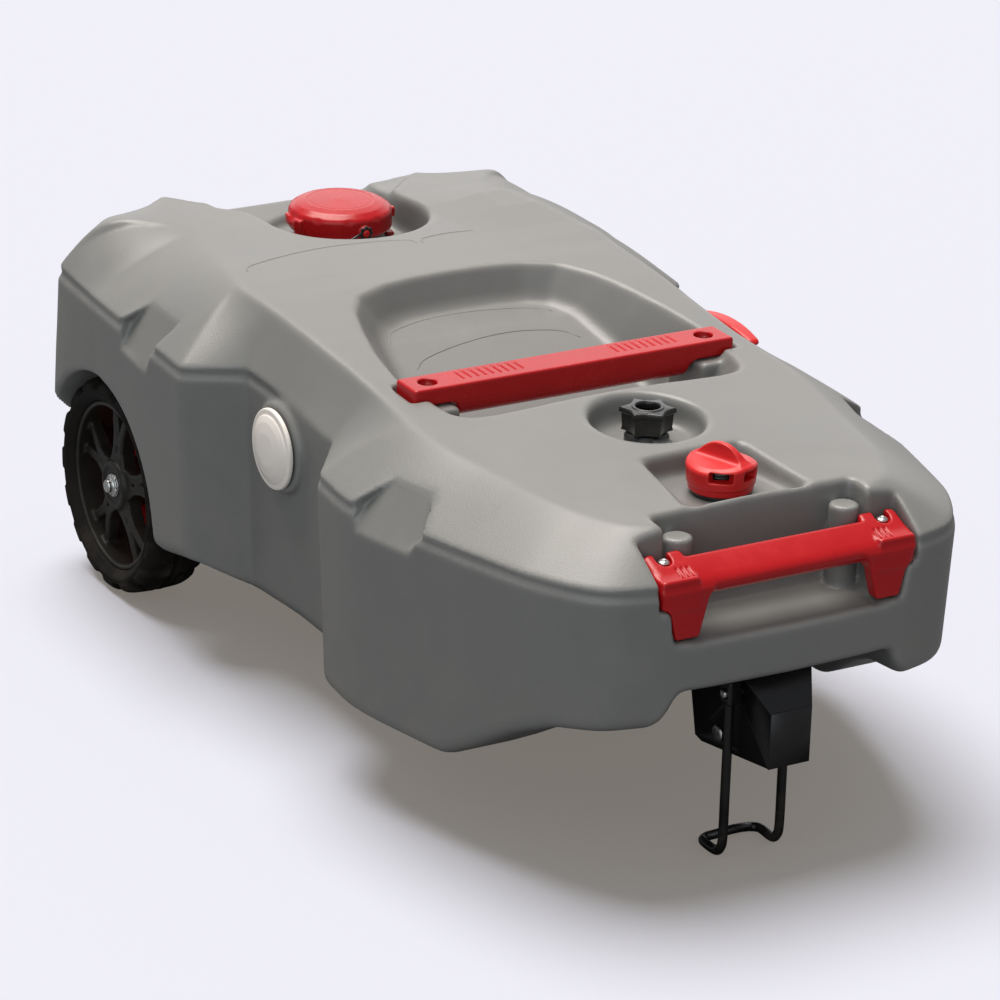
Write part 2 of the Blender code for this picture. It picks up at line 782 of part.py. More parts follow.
def build_tank_shell():
    """The hollow body: the outer shape less its pockets, less the cavity, with holes for the fittings."""
    outer = body_loft("tank_shell", 0.0, "tank_grey")
    cut(outer, *body_cutters("outer", 0.0), *shoulder_seats("outer", 0.0))
    cavity = body_loft("cavity", WALL)
    cut(cavity, *body_cutters("inner", WALL), *shoulder_seats("inner", WALL))
    boss_start = (PORT_X, -WAIST_Y - PORT_FACE_RISE - 0.002, PORT_Z)
    join(outer, cylinder("port_boss", PORT_RADIUS + 0.004, boss_start, 0.010, "Y", sides=24))
    reach = PORT_RADIUS + 0.024
    low = (PORT_X - reach, -0.26, PORT_Z - reach)
    high = (PORT_X + reach, -WAIST_Y - PORT_FACE_RISE, PORT_Z + reach)
    cut(outer, box("port_face", low, high))
    cut(outer, cavity, *holes("shell"))


def build_inlet():
    """The inlet collar with its studs and seal, and the hooked cap with its knob and tether."""
    outer = COLLAR_RADIUS
    floor = INLET_FLOOR_Z + GAP
    flange = outer + 0.0075
    profile = (
        (outer, COLLAR_TOP_Z),
        (outer, floor + FLANGE_THICK),
        (flange, floor + FLANGE_THICK),
        (flange, floor),
        (outer, floor),
        (outer, COLLAR_TAIL_Z),
        (INLET_BORE, COLLAR_TAIL_Z),
        (INLET_BORE, COLLAR_TOP_Z),
    )
    collar = turned("inlet_collar", profile, (AXLE_X, 0, 0), finish="dark_collar")
    rooted = 0.003
    length = STUD_REACH + rooted
    for side, sign in (("left", 1), ("right", -1)):
        start = outer - rooted if sign > 0 else -(outer + STUD_REACH)
        place = (AXLE_X, start, STUD_Z)
        stud = cylinder(f"inlet_stud_{side}", STUD_RADIUS, place, length, "Y", "zinc", sides=12)
        way = (AXLE_X, start - GAP if sign > 0 else start, STUD_Z)
        hole = f"inlet_stud_hole_{side}"
        cut(collar, cylinder(hole, STUD_RADIUS + GAP, way, length + GAP, "Y", sides=12))
        set_origin(stud, (AXLE_X, 0, STUD_Z))
    seal_z = COLLAR_TOP_Z + GAP
    seal_top = seal_z + INLET_SEAL_THICK
    ring("inlet_seal", INLET_BORE, outer, (AXLE_X, 0, seal_z), INLET_SEAL_THICK, finish="seal")
    inside = outer + 0.0015
    under = seal_top + GAP
    profile = (
        (0.0, INLET_CAP_TOP_Z),
        (INLET_CAP_RADIUS - 0.020, INLET_CAP_TOP_Z - 0.0008),
        (INLET_CAP_RADIUS - 0.008, INLET_CAP_TOP_Z - 0.0038),
        (INLET_CAP_RADIUS, INLET_CAP_TOP_Z - 0.0095),
        (INLET_CAP_RADIUS, INLET_CAP_SKIRT_Z),
        (inside, INLET_CAP_SKIRT_Z),
        (inside, under),
        (0.0, under),
    )
    cap = turned("inlet_cap", profile, (AXLE_X, 0, 0), finish="red_plastic")
    add_cap_arms(cap)
    boss_x = AXLE_X + INLET_CAP_RADIUS - 0.004
    boss = 0.0065
    join(cap, cylinder("cap_knob_boss", 0.0062, (boss_x, 0, KNOB_Z), boss, "X", sides=16))
    knob_start = (boss_x + boss + GAP, 0, KNOB_Z)
    knob = cylinder("inlet_knob", 0.0035, knob_start, 0.0030, "X", "bright_red", sides=12)
    set_origin(knob, (AXLE_X, 0, KNOB_Z))
    build_tether()


def add_cap_arms(cap):
    """Joins the two hooked arms to the inlet cap: each an arm, a tooth under its stud and a bridge."""
    spread = ARM_HALF_ANGLE
    middle_z = (ARM_LOW_Z + ARM_HIGH_Z) / 2
    height = ARM_HIGH_Z - ARM_LOW_Z
    for side, turn in (("left", 90), ("right", 270)):
        outline = arc((0, 0), ARM_OUT, turn - spread, turn + spread, 6)
        outline += arc((0, 0), ARM_IN, turn + spread, turn - spread, 6)
        arm = plate(f"cap_arm_{side}", outline, height, (AXLE_X, 0, middle_z))
        start, end = turn - spread + 0.7, turn + 4
        outline = arc((0, 0), ARM_OUT - 0.0012, start, end, 4)
        outline += arc((0, 0), COLLAR_RADIUS + 0.001, end, start, 4)
        tooth = plate(f"cap_tooth_{side}", outline, 0.0026, (AXLE_X, 0, ARM_LOW_Z + 0.0016))
        start, end = turn - spread + 1.5, turn + spread - 1.5
        outline = arc((0, 0), ARM_OUT - 0.0014, start, end, 6)
        outline += arc((0, 0), INLET_CAP_RADIUS - 0.0023, end, start, 6)
        bridge = plate(f"cap_bridge_{side}", outline, 0.0052, (AXLE_X, 0, ARM_HIGH_Z - 0.0035))
        join(cap, arm, tooth, bridge)


def build_tether():
    """The short cord from the knob, round the cap and down to the hook arm on the near side."""
    around = INLET_CAP_RADIUS + 0.0002
    angle = math.radians(-48)
    start = (AXLE_X + INLET_CAP_RADIUS + 0.002, -0.0077, KNOB_Z)
    end = (AXLE_X + around * math.cos(angle), around * math.sin(angle), 0.3074)
    middle = (AXLE_X + INLET_CAP_RADIUS + 0.006, -0.0290, 0.3210)
    route = []
    for i in range(9):
        t = i / 8
        weight = ((1 - t) ** 2, 2 * t * (1 - t), t * t)
        route.append(tuple(sum(w * p[k] for w, p in zip(weight, (start, middle, end))) for k in range(3)))
    tether = rod("inlet_tether", route, TETHER_RADIUS, "black_plastic")
    set_origin(tether, (AXLE_X, 0, KNOB_Z))


def build_rinse_port():
    """The rinse fitting in its round recess: a body, a washer and a six-sided swivel nut."""
    floor = RINSE_FLOOR_Z + GAP
    seat = RINSE_BORE + 0.0013
    pipe = RINSE_BORE + RINSE_WALL
    inside = RINSE_BORE - 0.002
    flange = pipe + 0.0045
    tail_z = 0.2850
    profile = (
        (seat, RINSE_BODY_TOP_Z),
        (seat, RINSE_BODY_TOP_Z - 0.0043),
        (flange, RINSE_BODY_TOP_Z - 0.0057),
        (flange, floor),
        (pipe, floor),
        (pipe, tail_z),
        (inside, tail_z),
        (inside, RINSE_BODY_TOP_Z),
    )
    body = turned("rinse_body", profile, (RINSE_X, 0, 0), finish="black_plastic")
    key_low = (RINSE_X + seat - 0.0008, -0.008, floor)
    key_high = (RINSE_X + flange + 0.011, 0.008, floor + 0.009)
    join(body, box("rinse_key", key_low, key_high))
    washer = (RINSE_X, 0, RINSE_BODY_TOP_Z + GAP)
    ring("rinse_washer", inside, seat + 0.0004, washer, 0.0022, finish="seal")
    outline = []
    for i in range(24):
        angle = TAU * i / 24
        lobe = RINSE_NUT_HALF + RINSE_NUT_LOBE * math.cos(6 * angle)
        outline.append((lobe * math.cos(angle), lobe * math.sin(angle)))
    low = RINSE_NUT_LOW_Z
    height = RINSE_NUT_TOP_Z - low
    place = (RINSE_X, 0, low + height / 2)
    nut = plate("rinse_swivel_nut", outline, height, place, finish="black_plastic")
    below = (RINSE_X, 0, low - 0.01)
    cut(
        nut,
        cylinder("nut_bore", seat + RUNNING_GAP, below, 0.05, sides=24),
        cylinder("nut_relief", RINSE_NUT_HALF - 0.001, below, 0.0105, sides=24),
    )


def build_vent():
    """The vent neck, its seal and the winged cap."""
    floor = VENT_FLOOR_Z + GAP
    pipe = VENT_BORE + VENT_WALL
    flange = pipe + 0.0075
    flange_z = floor + 0.003
    tail_z = 0.2830
    profile = (
        (pipe, VENT_NECK_TOP_Z),
        (pipe, flange_z),
        (flange, flange_z),
        (flange, floor),
        (pipe, floor),
        (pipe, tail_z),
        (VENT_BORE, tail_z),
        (VENT_BORE, VENT_NECK_TOP_Z),
    )
    turned("vent_neck", profile, (VENT_X, 0, 0), finish="black_plastic")
    seal = (VENT_X, 0, VENT_NECK_TOP_Z + GAP)
    ring("vent_seal", VENT_BORE, pipe, seal, VENT_SEAL_THICK, finish="seal")
    inside = pipe + RUNNING_GAP
    under = VENT_NECK_TOP_Z + VENT_SEAL_THICK + 2 * GAP
    skirt = flange_z + GAP
    profile = (
        (0.0, VENT_CAP_TOP_Z),
        (VENT_CAP_RADIUS - 0.002, VENT_CAP_TOP_Z - 0.001),
        (VENT_CAP_RADIUS, VENT_CAP_TOP_Z - 0.004),
        (VENT_CAP_RADIUS - 0.0012, skirt + 0.007),
        (VENT_CAP_RADIUS - 0.003, skirt),
        (inside, skirt),
        (inside, under),
        (0.0, under),
    )
    cap = turned("vent_cap", profile, (VENT_X, 0, 0), finish="bright_red")
    reach = VENT_CAP_RADIUS - 0.0041
    wing = plate(
        "vent_wing",
        [(-reach, 0.0)] + arc((0, -0.012), reach + 0.0005, 160, 20, 10) + [(reach, 0.0)],
        0.009,
        (VENT_X, 0, VENT_WING_Z - 0.0142),
        "X",
    )
    wing.rotation_euler.z += VENT_WING_TURN
    join(cap, wing)


def build_side_port():
    """The white cover and its seal on the near waist."""
    face = -WAIST_Y - PORT_FACE_RISE
    seal_y = face - GAP - PORT_SEAL_THICK
    place = (PORT_X, seal_y, PORT_Z)
    inner, outer = PORT_SPIGOT + GAP + 0.0007, PORT_RADIUS - 0.004
    ring("side_port_seal", inner, outer, place, PORT_SEAL_THICK, "Y", "seal")
    start = seal_y - GAP
    profile = (
        (PORT_RADIUS, 0.0),
        (PORT_RADIUS, -0.0030),
        (PORT_RADIUS - 0.0060, -0.0035),
        (PORT_RADIUS - 0.0075, -0.0050),
        (PORT_RADIUS - 0.0200, -0.0085),
        (0.0, -0.0095),
    )
    cover = turned("side_port_cover", ((0.0, 0.0), *profile), (PORT_X, start, PORT_Z), "Y", "white_plastic")
    join(cover, cylinder("port_plug", PORT_SPIGOT, (PORT_X, start - 0.001, PORT_Z), 0.012, "Y", sides=24))


def build_middle_handle():
    """The lifting bar across the pocket, with a screw at each end."""
    half_width = MID_HANDLE_WIDTH / 2
    top = MID_HANDLE_TOP_Z
    under = top - MID_SEAT_DEPTH + GAP
    section = [
        (-half_width, top - 0.002),
        (-half_width + 0.002, top),
        (half_width - 0.003, top),
        (half_width, top - 0.005),
        (half_width - 0.001, under),
        (-half_width + 0.001, under),
    ]
    bar = plate("mid_handle", section, 2 * MID_HANDLE_HALF, (MID_HANDLE_X, 0, 0), "Y", "red_plastic")
    low = top - MID_HANDLE_DEPTH
    section = [
        (-half_width + 0.003, low + 0.008),
        (-half_width + 0.008, low + 0.001),
        (0.0, low),
        (half_width - 0.008, low + 0.001),
        (half_width - 0.003, low + 0.008),
        (half_width - 0.002, under + 0.0015),
        (-half_width + 0.002, under + 0.0015),
    ]
    grip_length = 2 * (POCKET_HALF - 0.010)
    join(bar, plate("mid_grip", section, grip_length, (MID_HANDLE_X, 0, 0), "Y"))
    head, depth = 0.0062, 0.009
    for side, sign in (("left", 1), ("right", -1)):
        y = sign * MID_SCREW_Y
        floor = (MID_HANDLE_X, y, top - depth)
        below = (MID_HANDLE_X, y, top - 0.03)
        seat = cylinder(f"mid_screw_seat_{side}", head + 0.0023, floor, 0.02, sides=20)
        hole = cylinder(f"mid_screw_hole_{side}", SCREW_HOLE, below, 0.03, sides=12)
        cut(bar, seat, hole)
        screw(f"mid_handle_screw_{side}", (MID_HANDLE_X, y, top - depth + GAP), head, SCREW_SHANK, 0.0065)


def screw(name, seat, head_radius, shank_radius, length, finish="zinc"):
    """A domed screw: its head on a seat, its shank down through the hole."""
    profile = (
        (0.0, 0.0036),
        (head_radius * 0.6, 0.0030),
        (head_radius, 0.0012),
        (head_radius, 0.0),
        (shank_radius, 0.0),
        (shank_radius, -length),
        (0.0, -length),
    )
    return turned(name, profile, seat, finish=finish, steps=12)


def build_front_handle():
    """The towing handle on the nose: two pads, a bar and two legs."""
    front = FRONT_HANDLE_X
    outline = [
        (front - 0.0260, 0.2585),
        (front - 0.0125, 0.2535),
        (front + 0.0005, 0.2635),
        (front, 0.271),
        (front - 0.0030, 0.2735),
        (front - 0.0370, 0.288),
        (front - 0.0370, 0.2765),
    ]
    bar = plate("front_handle", outline, 2 * FRONT_HANDLE_HALF, (0, 0, 0), "Y", "red_plastic")
    back = front - 0.0285
    cut(bar, box("bar_rear_cut", (0.380, -FRONT_BAR_CUT, 0.24), (back, FRONT_BAR_CUT, 0.30)))
    leg_back, leg_top = front - 0.0135, 0.262
    inner, outer = FRONT_LEG_Y - FRONT_LEG_WIDTH / 2, FRONT_LEG_Y + FRONT_LEG_WIDTH / 2
    for side, sign in (("left", 1), ("right", -1)):
        bottom = (
            (leg_back, inner + 0.001, FRONT_LEG_Z),
            (front, inner + 0.001, FRONT_LEG_Z),
            (front, outer - 0.001, FRONT_LEG_Z),
            (leg_back, outer - 0.001, FRONT_LEG_Z),
        )
        top = (
            (leg_back, inner - 0.010, leg_top),
            (front - 0.0005, inner - 0.010, leg_top),
            (front - 0.0005, outer + 0.009, leg_top),
            (leg_back, outer + 0.009, leg_top),
        )
        join(bar, block(f"front_leg_{side}", mirrored(bottom, sign), mirrored(top, sign)))
        edges = sorted((sign * FRONT_PAD_Y[0], sign * FRONT_PAD_Y[1]))
        low = (FRONT_PAD_X, edges[0], FRONT_PAD_Z)
        high = (front - 0.0008, edges[1], 0.2700)
        join(bar, box(f"front_pad_{side}", low, high))
        place = (FRONT_SCREW_X, sign * FRONT_SCREW_Y, FRONT_SCREW_Z)
        below = (FRONT_SCREW_X, sign * FRONT_SCREW_Y, 0.240)
        seat = cylinder(f"front_screw_seat_{side}", 0.0064, place, 0.02, sides=20)
        hole = cylinder(f"front_screw_hole_{side}", SCREW_HOLE, below, 0.05, sides=12)
        cut(bar, seat, hole)
        rest = (FRONT_SCREW_X, sign * FRONT_SCREW_Y, FRONT_SCREW_Z + GAP)
        screw(f"front_handle_screw_{side}", rest, 0.0050, SCREW_SHANK, 0.0270)


def build_valve():
    """The gate valve on the far waist: its flange, body halves, seals, blade, stem, pull handle and bolts."""
    inner_face = VALVE_Y - VALVE_THICK / 2 - GAP
    flange_y = SCOOP_Y + GAP
    flange_end = flange_y + 0.004
    flange = OUTLET_PIPE + 0.006
    tail_y = SCOOP_Y - 0.0125
    profile = (
        (OUTLET_PIPE, inner_face),
        (OUTLET_PIPE, flange_end),
        (flange, flange_end),
        (flange, flange_y),
        (OUTLET_PIPE, flange_y),
        (OUTLET_PIPE, tail_y),
        (OUTLET_BORE, tail_y),
        (OUTLET_BORE, inner_face),
    )
    turned("outlet_flange", profile, (OUTLET_X, 0, OUTLET_Z), "Y", "black_plastic")
    blade_low, blade_top = OUTLET_Z - BLADE_HALF, OUTLET_Z + BLADE_HALF + 0.004
    slot = BLADE_THICK / 2 + GAP
    for part, side in (("inner", -1), ("outer", 1)):
        build_valve_half(f"valve_body_{part}", side, blade_low, blade_top, slot)
        start = VALVE_Y + side * slot - (VALVE_SEAL_THICK if side < 0 else 0)
        place = (OUTLET_X, start, OUTLET_Z)
        outer = OUTLET_BORE + VALVE_SEAL_WALL
        ring(f"valve_seal_{part}", OUTLET_BORE, outer, place, VALVE_SEAL_THICK, "Y", "seal")
    box(
        "valve_blade",
        (OUTLET_X - BLADE_HALF, VALVE_Y - BLADE_THICK / 2, blade_low),
        (OUTLET_X + BLADE_HALF, VALVE_Y + BLADE_THICK / 2, blade_top),
        "black_plastic",
    )
    stem = (OUTLET_X, VALVE_Y, blade_top + GAP)
    stem_length = T_HANDLE_Z - 2 * GAP - blade_top
    cylinder("valve_stem", STEM_RADIUS, stem, stem_length, finish="zinc", sides=12)
    half = T_HANDLE_LENGTH / 2
    crown = [(-half, 0.002), (-half, 0.005), (-half * 0.75, 0.0105), (-half * 0.35, 0.0155), (0.0, 0.0168)]
    under = [(half * 0.6, 0.0055), (0.012, 0.0085), (0.008, 0.0)]
    outline = crown + [(-x, z) for x, z in crown[-2::-1]] + under + [(-x, z) for x, z in under[::-1]]
    plate("valve_t_handle", outline, 0.016, (OUTLET_X, VALVE_Y, T_HANDLE_Z), "Y", "red_plastic")
    for i, (x_side, z_side) in enumerate(((-1, -1), (1, -1), (-1, 1), (1, 1))):
        x = OUTLET_X + x_side * (VALVE_HALF - 0.006)
        z = OUTLET_Z + (VALVE_HALF - 0.004 if z_side > 0 else 0.011 - VALVE_HALF)
        build_valve_bolt(i, x, z)


def build_valve_half(name, side, blade_low, blade_top, slot):
    """One half of the valve's body, with its share of the blade's slot, stem's way and seal's groove."""
    near, far = sorted((VALVE_Y + side * GAP / 2, VALVE_Y + side * VALVE_THICK / 2))
    low = (OUTLET_X - VALVE_HALF, near, OUTLET_Z - VALVE_HALF + 0.003)
    high = (OUTLET_X + VALVE_HALF, far, VALVE_TOP_Z)
    slot_low = (OUTLET_X - BLADE_HALF - GAP, VALVE_Y - slot, blade_low - GAP)
    slot_high = (OUTLET_X + BLADE_HALF + GAP, VALVE_Y + slot, VALVE_TOP_Z - 0.006)
    stem = (OUTLET_X, VALVE_Y, blade_top - 0.004)
    bore = (OUTLET_X, VALVE_Y - 0.05, OUTLET_Z)
    depth = VALVE_SEAL_THICK + 0.001 + GAP
    groove_y = VALVE_Y - slot - VALVE_SEAL_THICK - GAP if side < 0 else VALVE_Y + slot - 0.001
    groove = (OUTLET_X, groove_y, OUTLET_Z)
    cut(
        box(name, low, high, "black_plastic"),
        box(f"{name}_slot", slot_low, slot_high),
        cylinder(f"{name}_stem_way", STEM_RADIUS + 2 * GAP, stem, 0.2, sides=16),
        cylinder(f"{name}_bore", OUTLET_BORE, bore, 0.1, "Y", sides=24),
        cylinder(f"{name}_groove", OUTLET_BORE + VALVE_SEAL_WALL + GAP, groove, depth, "Y", sides=24),
    )


def build_valve_bolt(index, x, z):
    """One bolt through both halves of the valve's body."""
    for part in ("inner", "outer"):
        way = cylinder(
            f"bolt_way_{part}_{index}", BOLT_RADIUS + GAP, (x, VALVE_Y - 0.03, z), 0.06, "Y", sides=12
        )
        cut(bpy.data.objects[f"valve_body_{part}"], way)
    head, shank = 0.004, VALVE_THICK + 0.001
    profile = (
        (0.0, 0.003),
        (head, 0.003),
        (head, 0.0),
        (BOLT_RADIUS, 0.0),
        (BOLT_RADIUS, -shank),
        (0.0, -shank),
    )
    seat = VALVE_Y + VALVE_THICK / 2 + GAP
    turned(f"valve_bolt_{index + 1}", profile, (x, seat, z), "Y", "zinc", steps=12)


def build_outlet():
    """The outlet spigot with its lugs, its seal and the hooked cap."""
    pipe = OUTLET_PIPE
    start = VALVE_Y + VALVE_THICK / 2 + GAP
    end = OUTLET_END_Y - 0.006
    profile = (
        (pipe, end),
        (pipe, start + 0.003),
        (pipe + 0.0022, start + 0.003),
        (pipe + 0.0022, start),
        (OUTLET_BORE, start),
        (OUTLET_BORE, end),
    )
    turned("outlet_spigot", profile, (OUTLET_X, 0, OUTLET_Z), "Y", "black_plastic")
    seal = (OUTLET_X, end + GAP, OUTLET_Z)
    ring("outlet_seal", OUTLET_BORE, pipe, seal, OUTLET_SEAL_THICK, "Y", "seal")
    under = end + 2 * GAP + OUTLET_SEAL_THICK
    inside = pipe + RUNNING_GAP
    outside = OUTLET_CAP_RADIUS - 0.002
    skirt = start + 0.0065
    profile = (
        (0.0, OUTLET_END_Y),
        (outside - 0.004, OUTLET_END_Y - 0.0005),
        (outside, OUTLET_END_Y - 0.002),
        (outside, skirt),
        (inside, skirt),
        (inside, under),
        (0.0, under),
    )
    cap = turned("outlet_cap", profile, (OUTLET_X, 0, OUTLET_Z), "Y", "red_plastic")
    for side, sign in (("left", -1), ("right", 1)):
        edges = sorted((OUTLET_X + sign * (outside - 0.003), OUTLET_X + sign * (outside + 0.003)))
        low = (edges[0], skirt, OUTLET_Z - 0.008)
        high = (edges[1], OUTLET_END_Y - 0.003, OUTLET_Z + 0.008)
        join(cap, box(f"outlet_ear_{side}", low, high))


def build_wheels():
    """The axle, its straps and, on each side, a spacer, rim, insert, tyre, bearing and push nut."""
    axle_end = TRACK_HALF + TYRE_WIDTH / 2 - 0.001
    start = (AXLE_X, -axle_end, WHEEL_RADIUS)
    cylinder("axle", AXLE_RADIUS, start, 2 * axle_end, "Y", "zinc", sides=20)
    seat_z = FLOOR_Z - GAP
    half_x, half_y = STRAP_HALF
    saddle_x = AXLE_SLOT_HALF - 0.0015
    for side, sign in (("left", 1), ("right", -1)):
        build_wheel(side, sign)
        y = sign * STRAP_Y
        low = (AXLE_X - half_x, y - half_y, seat_z - STRAP_STEEL)
        strap = box(f"axle_strap_{side}", low, (AXLE_X + half_x, y + half_y, seat_z), "black_steel")
        low = (AXLE_X - saddle_x, y - half_y + 0.001, FLOOR_Z - 0.002)
        high = (AXLE_X + saddle_x, y + half_y - 0.001, WHEEL_RADIUS - 0.001)
        join(strap, box(f"strap_saddle_{side}", low, high))
        way = (AXLE_X, y - 0.02, WHEEL_RADIUS)
        cut(strap, cylinder(f"strap_way_{side}", AXLE_RADIUS + GAP, way, 0.04, "Y", sides=20))


def build_wheel(side, sign):
    """One wheel about its own axis: tyre, rim, insert and bush, with the spacer and push nut beside it."""
    middle = Vector((AXLE_X, sign * TRACK_HALF, WHEEL_RADIUS))
    half = TYRE_WIDTH / 2
    rim_radius = WHEEL_RADIUS - TYRE_DEPTH
    side_wall = (
        (WHEEL_RADIUS, half - 0.010),
        (WHEEL_RADIUS - 0.0035, half - 0.002),
        (WHEEL_RADIUS - 0.010, half),
        (rim_radius + 0.002, half - 0.001),
        (rim_radius, half - 0.006),
    )
    profile = side_wall[1::-1] + tuple((radius, -y) for radius, y in side_wall) + side_wall[:1:-1]
    turned(f"tyre_{side}", profile, middle, "Y", "rubber", steps=32)
    barrel = rim_radius - GAP
    edge = half - 0.007
    profile = ((barrel, edge), (barrel, -edge), (barrel - RIM_WALL, -edge), (barrel - RIM_WALL, edge))
    rim = turned(f"rim_{side}", profile, middle, "Y", "rim_black", steps=32)
    hub_start = (AXLE_X, middle.y - half + 0.009, WHEEL_RADIUS)
    join(rim, cylinder(f"rim_hub_{side}", HUB_RADIUS, hub_start, TYRE_WIDTH - 0.018, "Y", sides=24))
    add_spokes(rim, side, (AXLE_X, middle.y + sign * (half - 0.019), WHEEL_RADIUS), barrel - 0.002)
    bush = AXLE_RADIUS + BUSH_WALL
    bore_start = (AXLE_X, middle.y - 0.05, WHEEL_RADIUS)
    cut(rim, cylinder(f"rim_bore_{side}", bush + GAP, bore_start, 0.1, "Y", sides=24))
    insert = 0.003
    insert_y = half - 0.016 if sign > 0 else -half + 0.016 + insert
    inner, outer = HUB_RADIUS + GAP + 0.0008, barrel - RIM_WALL - GAP - 0.0005
    place = (AXLE_X, middle.y - insert_y, WHEEL_RADIUS)
    ring(f"rim_insert_{side}", inner, outer, place, insert, "Y", "red_plastic")
    inset = 0.008
    way = AXLE_RADIUS + GAP
    place = (AXLE_X, middle.y - half + inset, WHEEL_RADIUS)
    ring(f"wheel_bush_{side}", way, bush, place, TYRE_WIDTH - 2 * inset, "Y", "zinc")
    arch_wall = TRACK_HALF - half - ARCH_SIDE_CLEAR
    start = arch_wall + GAP
    end = TRACK_HALF - half + inset - 2 * GAP
    place = (AXLE_X, start if sign > 0 else -end, WHEEL_RADIUS)
    ring(f"wheel_spacer_{side}", way, AXLE_RADIUS + 0.005, place, end - start, "Y", "black_plastic", 20)
    nut = 0.0035
    nut_low = TRACK_HALF + half - inset + 2 * GAP
    place = (AXLE_X, nut_low if sign > 0 else -nut_low - nut, WHEEL_RADIUS)
    ring(f"axle_nut_{side}", way, AXLE_RADIUS + BUSH_WALL, place, nut, "Y", "zinc", 20)


def add_spokes(rim, side, centre, reach):
    """Joins the V-shaped spokes to a rim, each a pair of bars that lean apart from the hub to the barrel."""
    for i in range(SPOKES):
        angle = 90 + 360 * i / SPOKES
        root = arc((0, 0), HUB_RADIUS - 0.004, angle - 9, angle + 9, 1)
        for lean, tag in ((-SPOKE_LEAN, "a"), (SPOKE_LEAN, "b")):
            tip = arc((0, 0), reach, angle + lean + 4.4, angle + lean - 4.4, 1)
            join(rim, plate(f"spoke_{side}_{i}{tag}", root + tip, SPOKE_THICK, centre, "Y"))


def build_tow_bracket():
    """The folded steel bracket under the nose: a web, two side plates and a top flange bolted to the body."""
    steel = BRACKET_STEEL
    half = BRACKET_HALF
    rear, front = BRACKET_REAR_X, BRACKET_FRONT_X
    bottom, top = BRACKET_BOTTOM_Z, CHANNEL_Z - GAP
    bend = top - 0.0287
    flared = front - 0.026
    web = box("tow_bracket", (front - steel, -half, bottom + 0.004), (front, half, bend), "black_steel")
    low = bend - 0.001
    flare = block(
        "bracket_flare",
        ((front - steel, -half, low), (front, -half, low), (front, half, low), (front - steel, half, low)),
        (
            (flared - steel, -0.034, top),
            (flared, -0.034, top),
            (flared, 0.034, top),
            (flared - steel, 0.034, top),
        ),
    )
    flange = box("bracket_flange", (rear - 0.010, -0.062, top - steel), (flared - 0.0005, 0.062, top))
    join(web, flare, flange)
    outline = [
        (front - 0.0005, bottom + 0.0045),
        (front - 0.0005, bend - 0.0005),
        (flared - 0.0015, top - 0.0005),
        (rear, top - 0.0005),
        (rear, top - 0.0497),
        (rear + 0.010, bottom - 0.010),
        (rear + 0.020, bottom - 0.012),
    ]
    profile = ((0.0, steel - GAP), (BRACKET_BOLT_RADIUS, steel - GAP), (BRACKET_BOLT_RADIUS, 0.0))
    profile += ((0.0085, 0.0), (0.0085, -0.0045), (0.0, -0.0050))
    for side, sign in (("left", 1), ("right", -1)):
        join(web, plate(f"bracket_side_{side}", outline, steel, (0, sign * (half - steel / 2), 0), "Y"))
        y = sign * BRACKET_BOLT_Y
        way = (BRACKET_BOLT_X, y, top - 0.01)
        cut(web, cylinder(f"bracket_bolt_way_{side}", BRACKET_BOLT_RADIUS + GAP, way, 0.02, sides=16))
        seat = (BRACKET_BOLT_X, y, top - steel - GAP)
        turned(f"bracket_bolt_{side}", profile, seat, finish="zinc", steps=12)
    for name, x, z, radius in (
        ("stand_pivot_way", STAND_X, STAND_Z, PIVOT_RADIUS),
        ("hitch_way", HITCH_X, HITCH_Z, HITCH_RADIUS),
    ):
        cut(web, cylinder(name, radius + GAP, (x, -0.05, z), 0.1, "Y", sides=16))


def build_stand():
    """The wire stand, its pivot sleeve and pin, and the hitch pin."""
    sleeve = BRACKET_HALF - BRACKET_STEEL - GAP
    place = (STAND_X, -sleeve, STAND_Z)
    ring("stand_sleeve", PIVOT_RADIUS + GAP, 0.0085, place, 2 * sleeve, "Y", "black_steel", 20)
    wire = rod("stand_wire", stand_route(), STAND_ROD, "black_steel")
    for side, sign in (("left", 1), ("right", -1)):
        edges = sorted((sign * (BRACKET_HALF + GAP + 0.0002), sign * EYE_OUTER))
        low = (STAND_X - EYE_HALF, edges[0], STAND_Z - 0.010)
        high = (STAND_X + EYE_HALF, edges[1], STAND_Z + 0.0125)
        join(wire, box(f"stand_eye_{side}", low, high))
    way = (STAND_X, -0.06, STAND_Z)
    cut(wire, cylinder("stand_eye_way", PIVOT_RADIUS + GAP, way, 0.12, "Y", sides=16))
    set_origin(wire, (STAND_X, 0, STAND_Z))
    end = EYE_OUTER + GAP
    profile = (
        (0.0, end + 0.003),
        (0.0070, end + 0.0025),
        (0.0070, end),
        (PIVOT_RADIUS, end),
        (PIVOT_RADIUS, -end - 0.002),
        (0.0, -end - 0.002),
    )
    turned("stand_pivot_pin", profile, (STAND_X, 0, STAND_Z), "Y", "zinc", steps=16)
    face = BRACKET_HALF + GAP
    profile = (
        (0.0, face + HITCH_TAIL),
        (HITCH_RADIUS, face + HITCH_TAIL),
        (HITCH_RADIUS, -face),
        (0.0075, -face),
        (0.0075, -face - 0.0022),
        (0.0, -face - 0.0022),
    )
    turned("hitch_pin", profile, (HITCH_X, 0, HITCH_Z), "Y", "zinc", steps=16)


